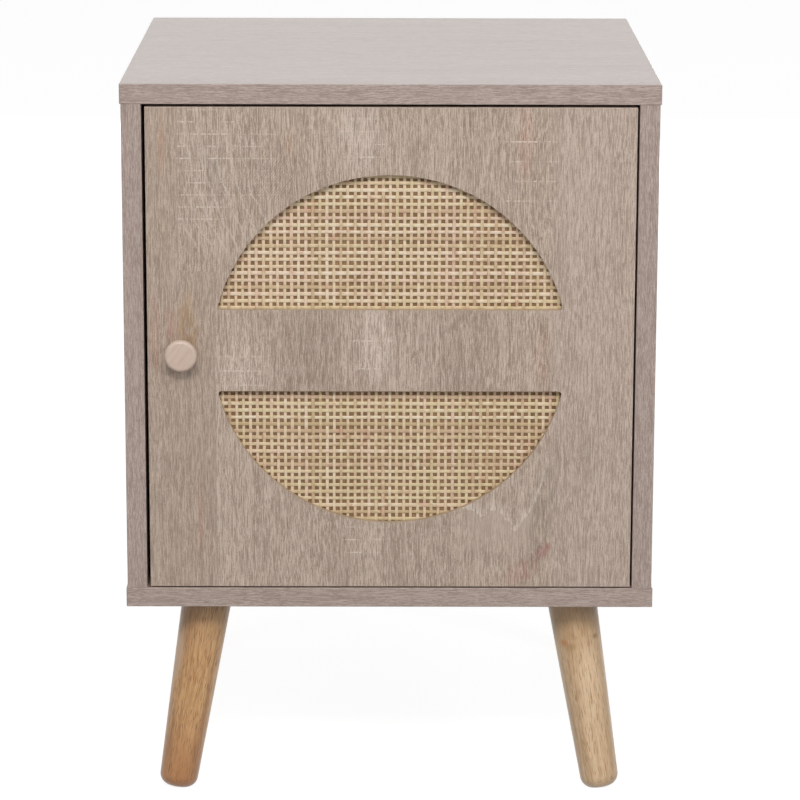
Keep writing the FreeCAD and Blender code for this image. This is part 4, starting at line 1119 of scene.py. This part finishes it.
@dataclass
class CaneScreen:
    """Woven cane in the door's rebate: level and upright strands, over one and under one."""

    pitch: float = 0.00525
    level_width: float = 0.0027
    upright_width: float = 0.0023
    thickness: float = 0.0004
    wave: float = 0.00024
    steps: int = 4
    seed: int = 7
    rim_gap: float = 0.0004
    place_play: float = 0.00016
    width_play: float = 0.12
    shade_spread: float = 0.2
    sway: float = 0.00012
    sway_rate: float = 70.0
    section: Tuple[Tuple[float, float], ...] = (
        (-1.0, -0.7), (-0.9, 0.5), (-0.5, 1.0), (0.5, 1.0), (0.9, 0.5), (1.0, -0.7))
    finish: CaneStrand = CaneStrand()

    def ring(self, centre: Vector, side: Vector, out: Vector, width: float) -> List[Vector]:
        """Makes the flat section of a strand, with eased edges.

        Args:
            centre: The section's middle.
            side: The way across the strand.
            out: The way towards the front.
            width: The strand's width.

        Returns:
            The points around the section.
        """
        half, thick = width / 2, self.thickness / 2
        return [centre + side * (half * across) + out * (thick * rise) for across, rise in self.section]

    def build(self) -> bpy.types.Object:
        """Weaves the strands.

        Returns:
            The woven screen.
        """
        low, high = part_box("cane_webbing")
        middle = (low + high) / 2
        radius = (high.x - low.x) / 2 - self.rim_gap
        dice = random.Random(self.seed)
        weave = Weave()
        count = int((radius - self.level_width) / self.pitch)
        for lay in Lay:
            for number in range(-count, count + 1):
                self.strand(weave, dice, lay, number, middle, radius)
        mesh = bpy.data.meshes.new("woven_cane")
        mesh.from_pydata(weave.points, [], weave.faces)
        for name, numbers in (("shade", weave.shades), ("hue", weave.hues)):
            mesh.attributes.new(name, "FLOAT", "POINT").data.foreach_set("value", numbers)
        mesh.polygons.foreach_set("use_smooth", [True] * len(mesh.polygons))
        mesh.materials.append(self.finish.material())
        screen = bpy.data.objects.new("woven_cane", mesh)
        bpy.context.scene.collection.objects.link(screen)
        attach(screen, "door")
        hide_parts("cane_webbing")
        LOG.info("wove %s from %d points", screen.name, len(weave.points))
        return screen

    def strand(self, weave: Weave, dice: random.Random, lay: Lay, number: int, middle: Vector,
               radius: float) -> None:
        """Adds one strand that runs across the disc.

        Args:
            weave: The mesh to add to.
            dice: Seeded chance for small differences.
            lay: The way that the strand lies.
            number: Its place in the row.
            middle: The disc's middle.
            radius: The disc's radius.
        """
        level = lay is Lay.LEVEL
        along, side = Vector((1, 0, 0)), Vector((0, 0, 1))
        if not level:
            along, side = side, along
        out = Vector((0, -1, 0))
        offset = number * self.pitch + dice.uniform(-self.place_play, self.place_play)
        width = self.level_width if level else self.upright_width
        width *= dice.uniform(1 - self.width_play, 1 + self.width_play)
        shade = min(1.0, max(0.0, dice.gauss(0.5, self.shade_spread)))
        hue = dice.uniform(0.1, 0.9)
        reach = math.sqrt(radius ** 2 - (abs(offset) + width / 2) ** 2)
        spacing = self.pitch / self.steps
        half = int(reach / spacing)
        drift = dice.uniform(0, 2 * math.pi)
        start, sides = len(weave.points), len(self.section)
        for spot in range(-half, half + 1):
            run = spot * spacing
            lift = lay.value * self.wave * math.cos(math.pi * (run / self.pitch + number))
            sway = self.sway * math.sin(run * self.sway_rate + drift)
            centre = middle + along * run + side * (offset + sway) + out * lift
            weave.points.extend(self.ring(centre, side, out, width))
            weave.shades.extend([shade] * sides)
            weave.hues.extend([hue] * sides)
        last = start + 2 * half * sides
        for base in range(start, last, sides):
            for edge in range(sides):
                near, far = base + edge, base + (edge + 1) % sides
                weave.faces.append((near, far, far + sides, near + sides))
        weave.faces.append(tuple(start + edge for edge in reversed(range(sides))))
        weave.faces.append(tuple(last + edge for edge in range(sides)))


@dataclass
class Door:
    """The door board, its knob and what holds the cane."""

    screen: CaneScreen = field(default_factory=CaneScreen)
    oak: DoorOak = DoorOak("oak_door", Grain.HEIGHT, 0.11, (200, 182, 166), (173, 154, 139), (144, 124, 109),
                           vein_share=0.2, squeeze=0.65)
    backing: Hardboard = Hardboard("brown_backing")
    knob: TurnedWood = TurnedWood("knob_wood", (0.6, 0.05, 0.8), 2.9, (204, 185, 168), (200, 178, 162),
                                  (195, 169, 154), pore_share=0.06)

    def build(self) -> None:
        """Dresses the door and weaves its screen."""
        dress("door_panel", self.oak.material())
        dress("cane_backing", self.backing.material())
        dress("door_knob", self.knob.material())
        self.screen.build()


@dataclass
class Fittings:
    """Hinges, screws, dowels and the door stop."""

    hinge_nodes: Tuple[str, ...] = (
        "hinge_cup_upper", "hinge_cup_lower", "hinge_outer_link_upper", "hinge_outer_link_lower",
        "hinge_inner_link_upper", "hinge_inner_link_lower", "hinge_arm_upper", "hinge_arm_lower",
        "hinge_plate_upper", "hinge_plate_lower", "hinge_cup_pins", "hinge_arm_pins", "hinge_inner_link_pins")
    zinc_nodes: Tuple[str, ...] = (
        "cam_bolts", "cam_locks", "leg_bolts", "leg_inserts", "cane_backing_brads", "knob_screw",
        "hinge_cup_screws", "hinge_plate_screws", "hinge_arm_screws", "door_stop_screw")
    nickel: PlatedSteel = PlatedSteel("nickel_plate", (205, 201, 193), 0.3)
    zinc: PlatedSteel = PlatedSteel("zinc_plate", (196, 199, 203), 0.38)
    dowel: TurnedWood = TurnedWood("dowel_wood", (0, 0, 1), 4.1, (214, 190, 158), (200, 174, 142),
                                   (180, 152, 120))
    plastic: Moulding = Moulding("stop_plastic", (214, 208, 200), 0.5)
    rubber: Moulding = Moulding("stop_rubber", (48, 47, 46), 0.8)

    def build(self) -> None:
        """Dresses every fitting."""
        groups = ((self.nickel, self.hinge_nodes), (self.zinc, self.zinc_nodes), (self.dowel, ("dowels",)),
                  (self.plastic, ("door_stop",)), (self.rubber, ("door_stop_pad",)))
        for finish, nodes in groups:
            material = finish.material()
            for node in nodes:
                dress(node, material)


@dataclass(frozen=True)
class Lamp:
    """A soft lamp: its name, its place, the width and height of its face, and its power in watts."""

    name: str
    place: Triple
    size: Tuple[float, float]
    power: float


@dataclass
class Stage:
    """Floor, light and the camera at the photograph's place."""

    eye: Triple = (-0.00404, -2.77814, 0.91513)
    yaw: float = 0.2567
    pitch: float = 13.1436
    roll: float = 0.1586
    lens: float = 159.077
    sensor: float = 36.0
    sight: float = 60.0
    ambient: float = 0.22
    floor_reach: float = 14.0
    floor_bounce: float = 0.45
    floor_shade: float = 0.3
    floor_glow: float = 0.9
    aim: Triple = (0.0, 0.0, 0.3)
    lamps: Tuple[Lamp, ...] = (
        Lamp("key", (-0.2, -2.7, 2.55), (1.8, 0.8), 65.0),
        Lamp("left", (-2.1, -2.6, 2.0), (1.4, 1.2), 12.0),
        Lamp("right", (2.3, -2.6, 1.7), (1.4, 1.2), 28.0),
        Lamp("rear", (0.0, 3.0, 1.15), (3.4, 1.6), 9.0),
        Lamp("low rear", (0.7, 3.0, 0.27), (2.4, 0.4), 28.0))

    def build(self) -> None:
        """Sets up the stage."""
        self.camera()
        self.floor()
        self.world()
        for lamp in self.lamps:
            self.hang(lamp)
        bpy.context.scene.view_settings.view_transform = "Standard"

    def camera(self) -> None:
        """Puts the camera where the photograph was taken."""
        yaw, pitch, roll = (math.radians(angle) for angle in (self.yaw, self.pitch, self.roll))
        ahead = Vector((math.sin(yaw) * math.cos(pitch), math.cos(yaw) * math.cos(pitch), -math.sin(pitch)))
        level = Vector((math.cos(yaw), -math.sin(yaw), 0))
        over = level.cross(ahead)
        right = level * math.cos(roll) + over * math.sin(roll)
        up = over * math.cos(roll) - level * math.sin(roll)
        data = bpy.data.cameras.new("photo_camera")
        data.sensor_width = self.sensor
        data.lens = self.lens
        data.clip_end = self.sight
        camera = bpy.data.objects.new("photo_camera", data)
        axes = Matrix((right, up, -ahead)).transposed().to_4x4()
        camera.matrix_world = Matrix.Translation(self.eye) @ axes
        bpy.context.scene.collection.objects.link(camera)
        bpy.context.scene.camera = camera

    def seen(self, tree: bpy.types.NodeTree) -> Socket:
        """Gives 1 for rays that show the background: straight, mirrored or through glass.

        Args:
            tree: The nodes to add to.

        Returns:
            The ray test.
        """
        path = tree.nodes.new("ShaderNodeLightPath")
        total = path.outputs["Is Camera Ray"]
        for name in ("Is Glossy Ray", "Is Transmission Ray"):
            node = tree.nodes.new("ShaderNodeMath")
            node.operation = "MAXIMUM"
            tree.links.new(total, node.inputs[0])
            tree.links.new(path.outputs[name], node.inputs[1])
            total = node.outputs[0]
        return total

    def floor(self) -> None:
        """Lays a pale floor that shows white but keeps the object's shadow."""
        mesh = bpy.data.meshes.new("floor")
        far = self.floor_reach
        corners = [(-far, -far, 0), (far, -far, 0), (far, far, 0), (-far, far, 0)]
        mesh.from_pydata(corners, [], [(0, 1, 2, 3)])
        floor = bpy.data.objects.new("floor", mesh)
        bpy.context.scene.collection.objects.link(floor)
        material = bpy.data.materials.new("pale_floor")
        material.use_nodes = True
        tree = material.node_tree
        tree.nodes.clear()
        output = tree.nodes.new("ShaderNodeOutputMaterial")
        matt = tree.nodes.new("ShaderNodeBsdfDiffuse")
        shaded = tree.nodes.new("ShaderNodeBsdfDiffuse")
        for node, level in ((matt, self.floor_bounce), (shaded, self.floor_shade)):
            node.inputs["Color"].default_value = (level, level, level, 1)
        glow = tree.nodes.new("ShaderNodeEmission")
        glow.inputs["Strength"].default_value = self.floor_glow
        both = tree.nodes.new("ShaderNodeAddShader")
        tree.links.new(shaded.outputs[0], both.inputs[0])
        tree.links.new(glow.outputs[0], both.inputs[1])
        mixed = tree.nodes.new("ShaderNodeMixShader")
        tree.links.new(self.seen(tree), mixed.inputs[0])
        tree.links.new(matt.outputs[0], mixed.inputs[1])
        tree.links.new(both.outputs[0], mixed.inputs[2])
        tree.links.new(mixed.outputs[0], output.inputs["Surface"])
        mesh.materials.append(material)

    def world(self) -> None:
        """Surrounds the object with even light and a white background."""
        world = bpy.data.worlds.new("studio")
        bpy.context.scene.world = world
        world.use_nodes = True
        tree = world.node_tree
        tree.nodes.clear()
        output = tree.nodes.new("ShaderNodeOutputWorld")
        light = tree.nodes.new("ShaderNodeBackground")
        light.inputs["Strength"].default_value = self.ambient
        white = tree.nodes.new("ShaderNodeBackground")
        for node in (light, white):
            node.inputs["Color"].default_value = (1, 1, 1, 1)
        mixed = tree.nodes.new("ShaderNodeMixShader")
        tree.links.new(self.seen(tree), mixed.inputs[0])
        tree.links.new(light.outputs[0], mixed.inputs[1])
        tree.links.new(white.outputs[0], mixed.inputs[2])
        tree.links.new(mixed.outputs[0], output.inputs["Surface"])

    def hang(self, lamp: Lamp) -> None:
        """Hangs a soft lamp that faces the object.

        Args:
            lamp: The lamp.
        """
        data = bpy.data.lights.new(lamp.name, "AREA")
        data.shape = "RECTANGLE"
        data.size, data.size_y = lamp.size
        data.energy = lamp.power
        hung = bpy.data.objects.new(lamp.name, data)
        hung.location = lamp.place
        facing = Vector(self.aim) - Vector(lamp.place)
        hung.rotation_euler = facing.to_track_quat("-Z", "Y").to_euler()
        bpy.context.scene.collection.objects.link(hung)


def main() -> None:
    """Builds the stage and dresses each sub-assembly in order."""
    logging.basicConfig(level=logging.INFO, format="%(message)s")
    for part in (Stage(), Carcass(), Legs(), Door(), Fittings()):
        part.build()
        LOG.info("built %s", type(part).__name__)


if __name__ == "__main__":
    main()
